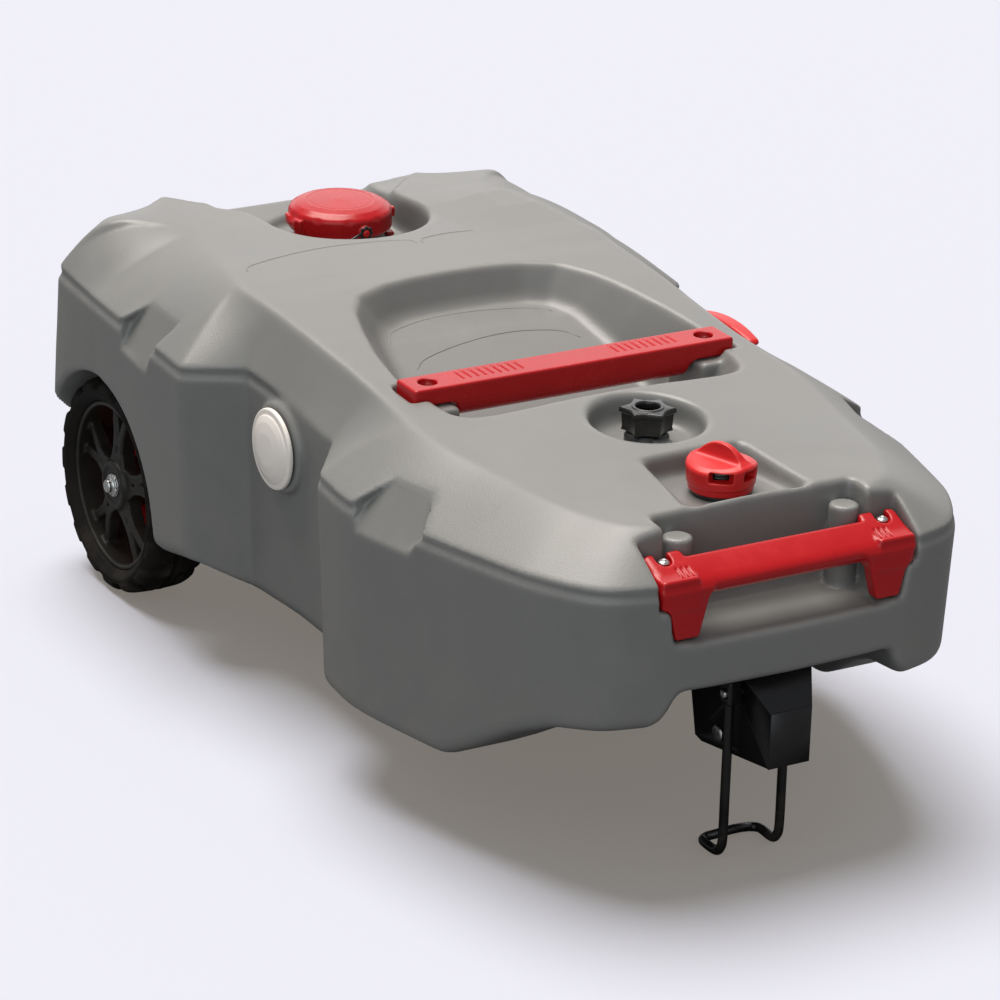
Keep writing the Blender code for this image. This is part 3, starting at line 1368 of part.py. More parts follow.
def stand_route():
    """The wire's middle line: down one side, back along its foot, over the wavy cross piece and up again."""
    low, half = STAND_ROD, STAND_HALF
    toe = STAND_X - STAND_FOOT
    near = [
        (STAND_X, -half, STAND_Z + 0.012),
        (STAND_X, -half, low + 0.016),
        (STAND_X - 0.003, -half, low + 0.005),
        (STAND_X - 0.010, -half, low),
        (toe + 0.006, -half, low),
        (toe, -half + 0.006, low),
    ]
    wave = []
    for i in range(1, 8):
        t = i / 8
        rise = math.sin(math.pi * t)
        wave.append((toe + 0.008 * rise, -half + 0.006 + t * (2 * half - 0.012), low + 0.006 * rise))
    return near + wave + [(x, -y, z) for x, y, z in near[::-1]]


def main():
    """Builds the whole tank."""
    build_tank_shell()
    build_inlet()
    build_rinse_port()
    build_vent()
    build_side_port()
    build_middle_handle()
    build_front_handle()
    build_valve()
    build_outlet()
    build_wheels()
    build_tow_bracket()
    build_stand()


main()
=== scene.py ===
"""Portable waste water tank: its looks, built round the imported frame.

Metres, +Z up, +X towards the nose that is towed, +Y towards the gate valve. Each moulded piece is the zero
surface of a field, a function of position whose edges are rounded where its parts meet, and each turned or
bent piece is a profile carried round an axis or along a path.
"""

from __future__ import annotations

import json
import logging
import math
from collections.abc import Callable, Sequence
from dataclasses import dataclass
from enum import Enum
from itertools import product

import bmesh
import bpy
import numpy as np
from mathutils import Matrix, Vector

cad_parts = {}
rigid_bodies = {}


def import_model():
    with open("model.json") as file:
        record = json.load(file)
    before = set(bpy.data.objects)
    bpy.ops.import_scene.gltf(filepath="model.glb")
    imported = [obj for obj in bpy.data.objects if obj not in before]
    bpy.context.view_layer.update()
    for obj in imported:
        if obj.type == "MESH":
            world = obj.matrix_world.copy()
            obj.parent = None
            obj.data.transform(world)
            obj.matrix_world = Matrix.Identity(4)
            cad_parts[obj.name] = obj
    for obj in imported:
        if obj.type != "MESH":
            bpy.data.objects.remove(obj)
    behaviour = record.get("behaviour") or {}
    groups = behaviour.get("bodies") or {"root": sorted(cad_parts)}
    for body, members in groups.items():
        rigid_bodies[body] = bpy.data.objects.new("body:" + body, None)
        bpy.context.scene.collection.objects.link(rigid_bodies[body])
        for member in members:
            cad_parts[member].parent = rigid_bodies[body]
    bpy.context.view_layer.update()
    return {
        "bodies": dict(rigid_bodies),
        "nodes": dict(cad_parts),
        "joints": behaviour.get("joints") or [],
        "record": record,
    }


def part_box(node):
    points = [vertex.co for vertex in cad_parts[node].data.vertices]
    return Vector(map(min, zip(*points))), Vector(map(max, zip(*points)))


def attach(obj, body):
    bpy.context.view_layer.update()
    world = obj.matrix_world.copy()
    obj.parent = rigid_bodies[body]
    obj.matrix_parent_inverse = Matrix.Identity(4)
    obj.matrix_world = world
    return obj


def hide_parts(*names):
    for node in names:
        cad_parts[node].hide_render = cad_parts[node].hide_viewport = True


log = logging.getLogger("waste_tank")

Array = np.ndarray
Field = Callable[[Array, Array, Array], Array]
Point = tuple[float, float, float]
MM = 0.001
SIDES = (("left", 1), ("right", -1))

# How nearly a face has to look along the slope to take it, and how fast "edge" grows as the surface bends.
SAME_WAY = 0.6
EDGE_GAIN = 0.9
# A bent bar's end rings and tips, as shares of its radius.
BAR_END = 0.72
BAR_TIP = 0.3


class Axis(Enum):
    """The axis that a turned piece is turned about, as the columns of its frame."""

    X = ((0, 1, 0), (0, 0, 1), (1, 0, 0))
    Y = ((0, 0, 1), (1, 0, 0), (0, 1, 0))
    Z = ((1, 0, 0), (0, 1, 0), (0, 0, 1))


def meet(first: Array, second: Array, blend: float) -> Array:
    """The larger of two fields, rounded where they meet: what the two shapes have in common.

    A quarter of blend is added, times the square of how near the two are, from 0 at a difference of blend
    to 1 where they are equal.

    Args:
        first: One field.
        second: The other field.
        blend: The width over which they blend, about 1.17 times the radius at a square edge.

    Returns:
        The blended field.
    """
    near = np.maximum(blend - np.abs(first - second), 0.0) / blend
    return np.maximum(first, second) + near * near * blend * 0.25


def join(first: Array, second: Array, blend: float) -> Array:
    """The smaller of two fields, rounded where they meet, in the way of meet: both shapes together."""
    return -meet(-first, -second, blend)


def box_field(low: Point, high: Point, blend: float) -> Field:
    """A box with rounded edges: the smooth maximum of the distances past its three pairs of faces.

    Args:
        low: Its lowest corner.
        high: Its highest corner.
        blend: Blend of its edges.

    Returns:
        The field.
    """
    centre = [(a + b) / 2 for a, b in zip(low, high)]
    half = [(b - a) / 2 for a, b in zip(low, high)]

    def field(x: Array, y: Array, z: Array) -> Array:
        """The box's field."""
        sides = meet(np.abs(x - centre[0]) - half[0], np.abs(y - centre[1]) - half[1], blend)
        return meet(sides, np.abs(z - centre[2]) - half[2], blend)

    return field


def disc_field(axis: Axis, centre: Point, radius: float, half: float, blend: float) -> Field:
    """A cylinder with rounded rims: the smooth maximum of the distances past its side and its two ends.

    Args:
        axis: The way that it stands.
        centre: Its middle.
        radius: Its radius.
        half: Half its length.
        blend: Blend of its rims.

    Returns:
        The field.
    """
    along = list(Axis).index(axis)
    across = [i for i in range(3) if i != along]

    def field(*place: Array) -> Array:
        """The cylinder's field."""
        first, second = (place[i] - centre[i] for i in across)
        side = np.sqrt(first * first + second * second) - radius
        return meet(side, np.abs(place[along] - centre[along]) - half, blend)

    return field


def block_field(bottom: Sequence[Point], top: Sequence[Point], blend: float) -> Field:
    """A convex block: the smooth maximum of the heights over its six faces.

    Each face is the mean plane of its four corners.

    Args:
        bottom: Its four bottom corners, in turn order.
        top: Its four top corners, in the same order.
        blend: Blend of its edges.

    Returns:
        The field.
    """
    corners = np.array([*bottom, *top], float)
    centre = corners.mean(axis=0)
    planes = []
    for ring in ((0, 1, 2, 3), (4, 5, 6, 7), (0, 1, 5, 4), (1, 2, 6, 5), (2, 3, 7, 6), (3, 0, 4, 7)):
        a, b, c, d = corners[list(ring)]
        normal = np.cross(c - a, d - b)
        normal /= np.linalg.norm(normal)
        middle = (a + b + c + d) / 4
        if normal @ (middle - centre) < 0:
            normal = -normal
        planes.append((normal, normal @ middle))

    def field(x: Array, y: Array, z: Array) -> Array:
        """The block's field."""
        total = None
        for normal, height in planes:
            face = normal[0] * x + normal[1] * y + normal[2] * z - height
            total = face if total is None else meet(total, face, blend)
        return total

    return field


def trough_field(floor: Sequence[Point], top: Sequence[Point], blend: float) -> Field:
    """A block that is the same on both sides of the middle.

    Args:
        floor: Its floor's rear and front edges, each as x, half width and z.
        top: The same for its top.
        blend: Blend of its edges.

    Returns:
        The field.
    """

    def ring(rear: Point, front: Point) -> list[Point]:
        """The four corners between two edges, in turn order."""
        return [*((x, -half, z) for x, half, z in (rear, front)), front, rear]

    return block_field(ring(*floor), ring(*top), blend)


def leg_field(sign: int, ends: tuple[float, float], foot: Point, top: Point, blend: float) -> Field:
    """A block on one side of the middle.

    Args:
        sign: 1 on the far side, -1 on the near side.
        ends: The x of its rear and front faces.
        foot: Its foot's inner y, outer y and height.
        top: The same for its top.
        blend: Blend of its edges.

    Returns:
        The field.
    """
    rear, front = ends
    rings = [
        [(x, sign * y, z) for x, y in ((rear, inner), (front, inner), (front, outer), (rear, outer))]
        for inner, outer, z in (foot, top)
    ]
    return block_field(*rings, blend)


def turned_place(x: Array, y: Array, turn: float) -> tuple[Array, Array, Array]:
    """Places about an upright axis, measured on a turned line.

    Args:
        x: How far they lie from the axis in x.
        y: How far they lie from the axis in y.
        turn: The line's turn from +X.

    Returns:
        How far along the line, across it and out from the axis they lie.
    """
    along = x * math.cos(turn) + y * math.sin(turn)
    across = y * math.cos(turn) - x * math.sin(turn)
    return along, across, np.sqrt(along**2 + across**2)


def outline_distance(outline: Array, x: Array, y: Array) -> Array:
    """Signed distance to a closed outline, below zero inside.

    For each side, the distance to its nearest point; the sign comes from how many sides a line to +x crosses.

    Args:
        outline: The outline's points, one a row.
        x: First coordinates.
        y: Second coordinates, of the same shape.

    Returns:
        The distances, of the same shape.
    """
    best = np.full(x.shape, np.inf, np.float32)
    inside = np.zeros(x.shape, bool)
    for (ax, ay), (bx, by) in zip(outline, np.roll(outline, -1, axis=0)):
        dx, dy = bx - ax, by - ay
        span = dx * dx + dy * dy
        if span < 1e-14:
            continue
        t = np.clip(((x - ax) * dx + (y - ay) * dy) / span, 0.0, 1.0)
        best = np.minimum(best, (x - ax - t * dx) ** 2 + (y - ay - t * dy) ** 2)
        if ay != by:
            crosses = (y < ay) != (y < by)
            inside ^= crosses & (x < ax + (y - ay) / (by - ay) * dx)
    return np.where(inside, -1.0, 1.0).astype(np.float32) * np.sqrt(best)


def blurred(values: Array, cells: float) -> Array:
    """A map blurred by a bell curve, one direction after the other, with its edges held.

    Args:
        values: The map.
        cells: The bell curve's spread, in cells.

    Returns:
        The blurred map.
    """
    reach = max(int(cells * 3), 1)
    weights = np.exp(-0.5 * (np.arange(-reach, reach + 1) / cells) ** 2)
    weights /= weights.sum()
    for axis in (0, 1):
        pad = [(reach, reach) if i == axis else (0, 0) for i in range(2)]
        wide = np.pad(values, pad, mode="edge")
        count = values.shape[axis]
        values = sum(w * wide.take(range(i, i + count), axis=axis) for i, w in enumerate(weights))
    return values


@dataclass
class Lattice:
    """A block of evenly spaced points that a field is worked out on.

    Args:
        low: Its lowest corner.
        high: Its highest corner.
        step: The spacing.
    """

    low: Point
    high: Point
    step: float

    def __post_init__(self) -> None:
        """Makes the three axes and an empty block of values."""
        self.axes = [
            np.arange(a, b + self.step, self.step, dtype=np.float32) for a, b in zip(self.low, self.high)
        ]
        self.values = np.full([len(a) for a in self.axes], 1.0, np.float32)

    def part(self, low: Point, high: Point) -> tuple[tuple[slice, ...], list[Array]]:
        """The slices, and the coordinates shaped to spread over them, of the part between two corners."""
        slices = []
        for axis, a, b in zip(self.axes, low, high):
            start, stop = np.searchsorted(axis, (a, b))
            slices.append(slice(int(start), int(stop)))
        spread = np.meshgrid(*[a[s] for a, s in zip(self.axes, slices)], indexing="ij", sparse=True)
        return tuple(slices), spread

    def fill(self, field: Field) -> Lattice:
        """Sets the whole block to a field."""
        spread = np.meshgrid(*self.axes, indexing="ij", sparse=True)
        self.values = np.broadcast_to(field(*spread), self.values.shape).astype(np.float32)
        return self

    def cut(self, field: Field, low: Point, high: Point, blend: float) -> None:
        """Takes a field's inside away between two corners, with its edges rounded."""
        part, spread = self.part(low, high)
        self.values[part] = meet(self.values[part], -field(*spread), blend)

    def add(self, field: Field, low: Point, high: Point, blend: float) -> None:
        """Adds a field's inside between two corners, with its corners filled."""
        part, spread = self.part(low, high)
        self.values[part] = join(self.values[part], field(*spread), blend)

    def sample(self, points: Array) -> Array:
        """The block's values at points between its own, by the eight round each weighed by nearness.

        Args:
            points: The points, one a row.

        Returns:
            One value a point.
        """
        place = (points - np.array([a[0] for a in self.axes])) / self.step
        top = np.array(self.values.shape) - 2
        base = np.clip(np.floor(place).astype(int), 0, top)
        part = np.clip(place - base, 0.0, 1.0)
        total = np.zeros(len(points))
        for corner in product((0, 1), repeat=3):
            weight = np.prod(np.where(corner, part, 1 - part), axis=1)
            i, j, k = (base + corner).T
            total += weight * self.values[i, j, k]
        return total

    def slope(self, points: Array) -> Array:
        """The direction in which the field grows fastest at points, one unit long."""
        rows = []
        for i in range(3):
            shift = np.zeros(3)
            shift[i] = self.step * 0.7
            rows.append(self.sample(points + shift) - self.sample(points - shift))
        grad = np.stack(rows, axis=1)
        return grad / np.maximum(np.linalg.norm(grad, axis=1, keepdims=True), 1e-9)

    def net(self) -> tuple[Array, Array]:
        """The field's zero surface, as one point for each cell that it passes through.

        A cell's point is the mean of the places where the surface crosses the cell's edges, and each edge of
        the block that it crosses gives one face between its four cells.

        Returns:
            The points and the four-sided faces.
        """
        inside = self.values < 0
        shape = np.array(inside.shape) - 1
        count = sum(
            inside[i : i + shape[0], j : j + shape[1], k : k + shape[2]].astype(np.int8)
            for i, j, k in product((0, 1), repeat=3)
        )
        active = (count > 0) & (count < 8)
        cells = np.argwhere(active)
        index = np.full(shape, -1, np.int64)
        index[active] = np.arange(len(cells))
        total = np.zeros((len(cells), 3))
        crossings = np.zeros(len(cells))
        corners = {c: self.values[tuple((cells + c).T)] for c in product((0, 1), repeat=3)}
        for first, second in product(corners, repeat=2):
            step = np.subtract(second, first)
            if step.sum() != 1 or (step < 0).any():
                continue
            a, b = corners[first], corners[second]
            crossed = (a < 0) != (b < 0)
            t = np.where(crossed, a / np.where(crossed, a - b, 1.0), 0.0)
            total += np.where(crossed[:, None], np.array(first) + t[:, None] * step, 0.0)
            crossings += crossed
        points = np.array([a[0] for a in self.axes]) + (cells + total / crossings[:, None]) * self.step
        faces = []
        for along in range(3):
            u, v = [np.eye(3, dtype=int)[i] for i in range(3) if i != along]
            ahead = np.eye(3, dtype=int)[along]
            span = [slice(0 if i == along else 1, n) for i, n in enumerate(shape)]
            near = inside[tuple(span)]
            far = inside[tuple(slice(s.start + a, s.stop + a) for s, a in zip(span, ahead))]
            place = np.argwhere(near != far) + [s.start for s in span]
            ring = [index[tuple((place - shift).T)] for shift in (u + v, v, 0 * u, u)]
            face = np.stack(ring, axis=1)
            outward = inside[tuple(place.T)] != (along == 1)
            faces.append(np.where(outward[:, None], face, face[:, ::-1]))
        return points, np.concatenate(faces)


def new_mesh(name: str, points: Array, *faces: Array) -> bpy.types.Mesh:
    """A mesh from its points and faces.

    Args:
        name: Its name.
        points: Its points, one a row.
        faces: Arrays of faces, each with rows of three or of four corners.

    Returns:
        The mesh.
    """
    mesh = bpy.data.meshes.new(name)
    corners = np.concatenate([rows.ravel() for rows in faces]).astype(np.int32)
    sides = np.concatenate([np.full(len(rows), rows.shape[1]) for rows in faces])
    mesh.vertices.add(len(points))
    mesh.vertices.foreach_set("co", np.ascontiguousarray(points, np.float32).ravel())
    mesh.loops.add(len(corners))
    mesh.loops.foreach_set("vertex_index", corners)
    mesh.polygons.add(len(sides))
    mesh.polygons.foreach_set("loop_start", (np.cumsum(sides) - sides).astype(np.int32))
    mesh.update(calc_edges=True)
    mesh.validate()
    return mesh


def new_object(name: str, mesh: bpy.types.Mesh) -> bpy.types.Object:
    """An object at the origin for a mesh whose points are already in place."""
    made = bpy.data.objects.new(name, mesh)
    bpy.context.scene.collection.objects.link(made)
    return made


def mesh_points(mesh: bpy.types.Mesh) -> Array:
    """A mesh's points, one a row."""
    points = np.zeros(len(mesh.vertices) * 3, np.float32)
    mesh.vertices.foreach_get("co", points)
    return points.reshape(-1, 3).astype(float)


def rounded(profile: Sequence[tuple[float, float]], cut: float, parts: int = 4) -> Array:
    """A profile with its inner corners rounded.

    Each corner is left cut before it and met again cut after it, or at 0.45 of a shorter side, and between
    the two runs a parabola that has the corner as its control point.

    Args:
        profile: The corners, one (radius, height) a row.
        cut: How far from a corner its rounding starts.
        parts: Points on each rounding, less one.

    Returns:
        The points, one a row.
    """
    line = np.array(profile, float)
    before, corner, after = line[:-2], line[1:-1], line[2:]
    reach = [np.linalg.norm(other - corner, axis=1, keepdims=True) for other in (before, after)]
    start, end = (
        corner + (other - corner) * np.minimum(cut / np.maximum(length, 1e-9), 0.45)
        for other, length in zip((before, after), reach)
    )
    t = np.linspace(0, 1, parts + 1)[None, :, None]
    curve = (1 - t) ** 2 * start[:, None] + 2 * t * (1 - t) * corner[:, None] + t**2 * end[:, None]
    return np.vstack([line[:1], curve.reshape(-1, 2), line[-1:]])


def handed(profile: Array, side: int) -> Array:
    """A profile for one side: as it is, or with its heights turned round for the side at -1."""
    return profile * (1, side) if side > 0 else (profile * (1, side))[::-1]


def turned(
    name: str, profile: Array, axis: Axis, centre: Point, steps: int = 96, swell: Field | None = None
) -> bpy.types.Object:
    """A profile turned about an axis: each radius times the cosine and sine of the turn, and each height.

    Args:
        name: The piece's name.
        profile: (radius, height) rows, from the top down the outer side. It may start or end on the axis;
            otherwise it closes on itself.
        axis: The axis.
        centre: The point that heights and radii are measured from.
        steps: Columns round the axis.
        swell: What to add to each radius, from the turn, the radius and the height.

    Returns:
        The object.
    """
    profile = np.asarray(profile, float)
    on_axis = [abs(profile[i, 0]) < 1e-9 for i in (0, -1)]
    turn = np.arange(steps) * math.tau / steps
    radius, height = profile[:, :1], profile[:, 1:]
    reach = radius + (swell(turn[None], radius, height) if swell else 0.0)
    spread = np.stack([reach * np.cos(turn), reach * np.sin(turn), height + 0 * turn], axis=-1)
    points = spread.reshape(-1, 3) @ np.array(axis.value, float) + centre
    rows = np.arange(len(profile) * steps).reshape(len(profile), steps)
    if not all(on_axis):
        rows = np.vstack([rows, rows[:1]])
    upper, lower = rows[:-1], rows[1:]
    quads = np.stack([upper, lower, np.roll(lower, -1, 1), np.roll(upper, -1, 1)], axis=-1)
    if all(on_axis):
        top, end = rows[0, 0], rows[-1, 0]
        cap = np.stack([np.full(steps, top), rows[1], np.roll(rows[1], -1)], axis=-1)
        base = np.stack([rows[-2], np.full(steps, end), np.roll(rows[-2], -1)], axis=-1)
        mesh = without_loose(new_mesh(name, points, quads[1:-1].reshape(-1, 4), cap, base))
    else:
        mesh = new_mesh(name, points, quads.reshape(-1, 4))
    made = new_object(name, mesh)
    mesh.shade_smooth()
    mesh.set_sharp_from_angle(angle=math.radians(50))
    return made


def without_loose(mesh: bpy.types.Mesh) -> bpy.types.Mesh:
    """The mesh without the points that no face uses."""
    shape = bmesh.new()
    shape.from_mesh(mesh)
    loose = [point for point in shape.verts if not point.link_faces]
    bmesh.ops.delete(shape, geom=loose, context="VERTS")
    shape.to_mesh(mesh)
    shape.free()
    return mesh


def moulded(name: str, lattice: Lattice, keep: float = 1.0) -> bpy.types.Object:
    """The piece inside a lattice's zero surface, thinned where it is flat and shaded by the field's slope.

    Args:
        name: The piece's name.
        lattice: The field, worked out.
        keep: The share of its triangles to keep.

    Returns:
        The object.
    """
    points, faces = lattice.net()
    made = new_object(name, new_mesh(name, points, faces))
    if keep < 1.0:
        thinned(made, keep)
    shade_by_slope(made, lattice)
    return made


def thinned(made: bpy.types.Object, keep: float) -> None:
    """Merges a piece's flattest faces until a share of its triangles is left."""
    thin = made.modifiers.new("thin", "DECIMATE")
    thin.ratio = keep
    apply_modifiers(made)


def carve(made: bpy.types.Object, tool: bpy.types.Object) -> None:
    """Takes a closed tool out of a piece, and removes the tool."""
    step = made.modifiers.new("carve", "BOOLEAN")
    step.object = tool
    step.operation = "DIFFERENCE"
    step.solver = "MANIFOLD"
    apply_modifiers(made)
    bpy.data.objects.remove(tool)


def apply_modifiers(made: bpy.types.Object) -> None:
    """Replaces an object's mesh by what its modifiers make of it."""
    graph = bpy.context.evaluated_depsgraph_get()
    mesh = bpy.data.meshes.new_from_object(made.evaluated_get(graph))
    made.modifiers.clear()
    old = made.data
    made.data = mesh
    mesh.name = made.name
    bpy.data.meshes.remove(old)


def shade_by_slope(made: bpy.types.Object, lattice: Lattice, inner: bool = False) -> None:
    """Shades a piece smooth, with each corner's direction read from the field that the piece came from.

    A corner keeps its face's own direction where the two differ by more than about 50 degrees, as on the wall
    of a hole. Each point also gets "edge": how far the field bends outwards there, 0 on flat or hollow ground
    and 1 on a tight outer edge.

    Args:
        made: The piece.
        lattice: The field.
        inner: Whether faces that look against the slope, as inside a hollow, take the slope turned round.
    """
    mesh = made.data
    mesh.shade_smooth()
    points = mesh_points(mesh)
    slope = lattice.slope(points)
    corner = np.zeros(len(mesh.loops), np.int32)
    mesh.loops.foreach_get("vertex_index", corner)
    flat = np.zeros(len(mesh.polygons) * 3, np.float32)
    mesh.polygons.foreach_get("normal", flat)
    count = np.zeros(len(mesh.polygons), np.int32)
    mesh.polygons.foreach_get("loop_total", count)
    flat = np.repeat(flat.reshape(-1, 3), count, axis=0)
    smooth = slope[corner]
    agree = (smooth * flat).sum(axis=1)
    if inner:
        smooth = np.where(agree[:, None] < 0, -smooth, smooth)
        agree = np.abs(agree)
    mesh.normals_split_custom_set(np.where(agree[:, None] > SAME_WAY, smooth, flat))
    reach = lattice.step
    shifts = np.vstack([np.eye(3), -np.eye(3)]) * reach
    bend = sum(lattice.sample(points + shift) for shift in shifts) - 6 * lattice.sample(points)
    edge = np.clip(bend / reach * EDGE_GAIN, 0.0, 1.0)
    mesh.attributes.new("edge", "FLOAT", "POINT").data.foreach_set("value", edge.astype(np.float32))


@dataclass(frozen=True)
class Station:
    """One place along the half outline of the body, in millimetres, from the middle of the rear to the nose.

    Args:
        belt: The widest line's x, y and z.
        crease: The x, y and z of the line where the shoulder meets the top.
        bulge: How far the shoulder between them swells: 1 is flat.
        corner: Whether the outline turns sharply here.
    """

    belt: Point
    crease: Point
    bulge: float = 1.0
    corner: bool = False


STATIONS = (
    Station((-446.0, 0, 285), (-440, 0, 320)),
    Station((-445.5, 72, 285), (-439, 72, 321), 1.2),
    Station((-444.5, 128, 285), (-436, 128, 336), 2.2),
    Station((-443.0, 202, 286), (-425, 134, 337), 6.0, True),
    Station((-424.0, 245, 287), (-395, 139, 337), 3.6, True),
    Station((-334.0, 253, 287), (-321, 147, 337), 1.5),
    Station((-268.0, 256, 286), (-264, 161, 337), 1.3),
    Station((-214.0, 258, 285), (-215, 172, 338), 1.2),
    Station((-144.0, 258, 282), (-173, 182, 338), 1.1, True),
    Station((-109.0, 210, 285), (-127, 182, 336), 1.0, True),
    Station((-30.0, 208, 281), (-60, 181, 332)),
    Station((51.0, 211, 275), (9, 178, 326), 1.0, True),
    Station((99.0, 250, 269), (70, 178, 320), 1.1, True),
    Station((160.0, 253, 268), (165, 178, 313), 1.15),
    Station((234.0, 238, 268), (234, 166, 309), 1.15),
    Station((321.0, 216, 270), (313, 151, 307), 1.15),
    Station((372.0, 199, 271), (347, 139, 306), 1.15),
    Station((417.0, 169, 271), (378, 122, 306), 1.15),
    Station((435.0, 130, 272), (390, 96, 306), 1.15),
    Station((443.0, 80, 272), (395, 62, 306), 1.15),
    Station((446.0, 0, 272), (397, 0, 307), 1.15),
)

# The top's middle line, the underside and how much higher the far side's top lies, each by place along the
# body, in millimetres; then the hand pocket's floor, in metres.
RIDGE_X = (-440, -395, -321, -264, -215, -124, -60, 9, 79, 214, 326, 397)
RIDGE_Z = (319, 329, 335, 338, 340, 342, 339, 332, 326, 320, 311, 307)
UNDER_X = (-450, -200, -150, -118, -30, 60, 90, 264, 300, 340, 378, 450)
UNDER_Z = (85, 87, 98, 75, 79, 81, 77, 77, 98, 124, 142, 151)
FAR_X = (-470, -436, -425, -395, -350, -300, -255, -205, -150, 500)
FAR_Z = (-13, -13, -11, -5, 0, 8, 7, 2, 0, 0)
POCKET_FLOOR_X = (-0.112, -0.07, -0.02, 0.03, 0.055, 0.15)
POCKET_FLOOR_Z = (0.3115, 0.3045, 0.289, 0.268, 0.257, 0.2555)


def along_stations(values: Array, corners: Sequence[bool], parts: int) -> Array:
    """Points on a curve through the stations' values, smooth except at corners.

    Each stretch is a cubic with the slopes at its ends: half the difference of the neighbours on a smooth
    station, and the stretch's own difference at a corner.

    Args:
        values: One row a station.
        corners: Whether each station is a corner.
        parts: Points a stretch.

    Returns:
        The points, one a row.
    """
    step = np.diff(values, axis=0)
    before = np.vstack([step[:1], step])
    after = np.vstack([step, step[-1:]])
    sharp = np.array(corners)[:, None]
    middle = (before + after) / 2
    leave = np.where(sharp, after, middle)[:-1, None]
    arrive = np.where(sharp, before, middle)[1:, None]
    t = np.linspace(0, 1, parts, endpoint=False)[None, :, None]
    start, end = values[:-1, None], values[1:, None]
    curve = (2 * t**3 - 3 * t**2 + 1) * start + (t**3 - 2 * t**2 + t) * leave
    curve = curve + (3 * t**2 - 2 * t**3) * end + (t**3 - t**2) * arrive
    return np.vstack([curve.reshape(-1, values.shape[1]), values[-1:]])


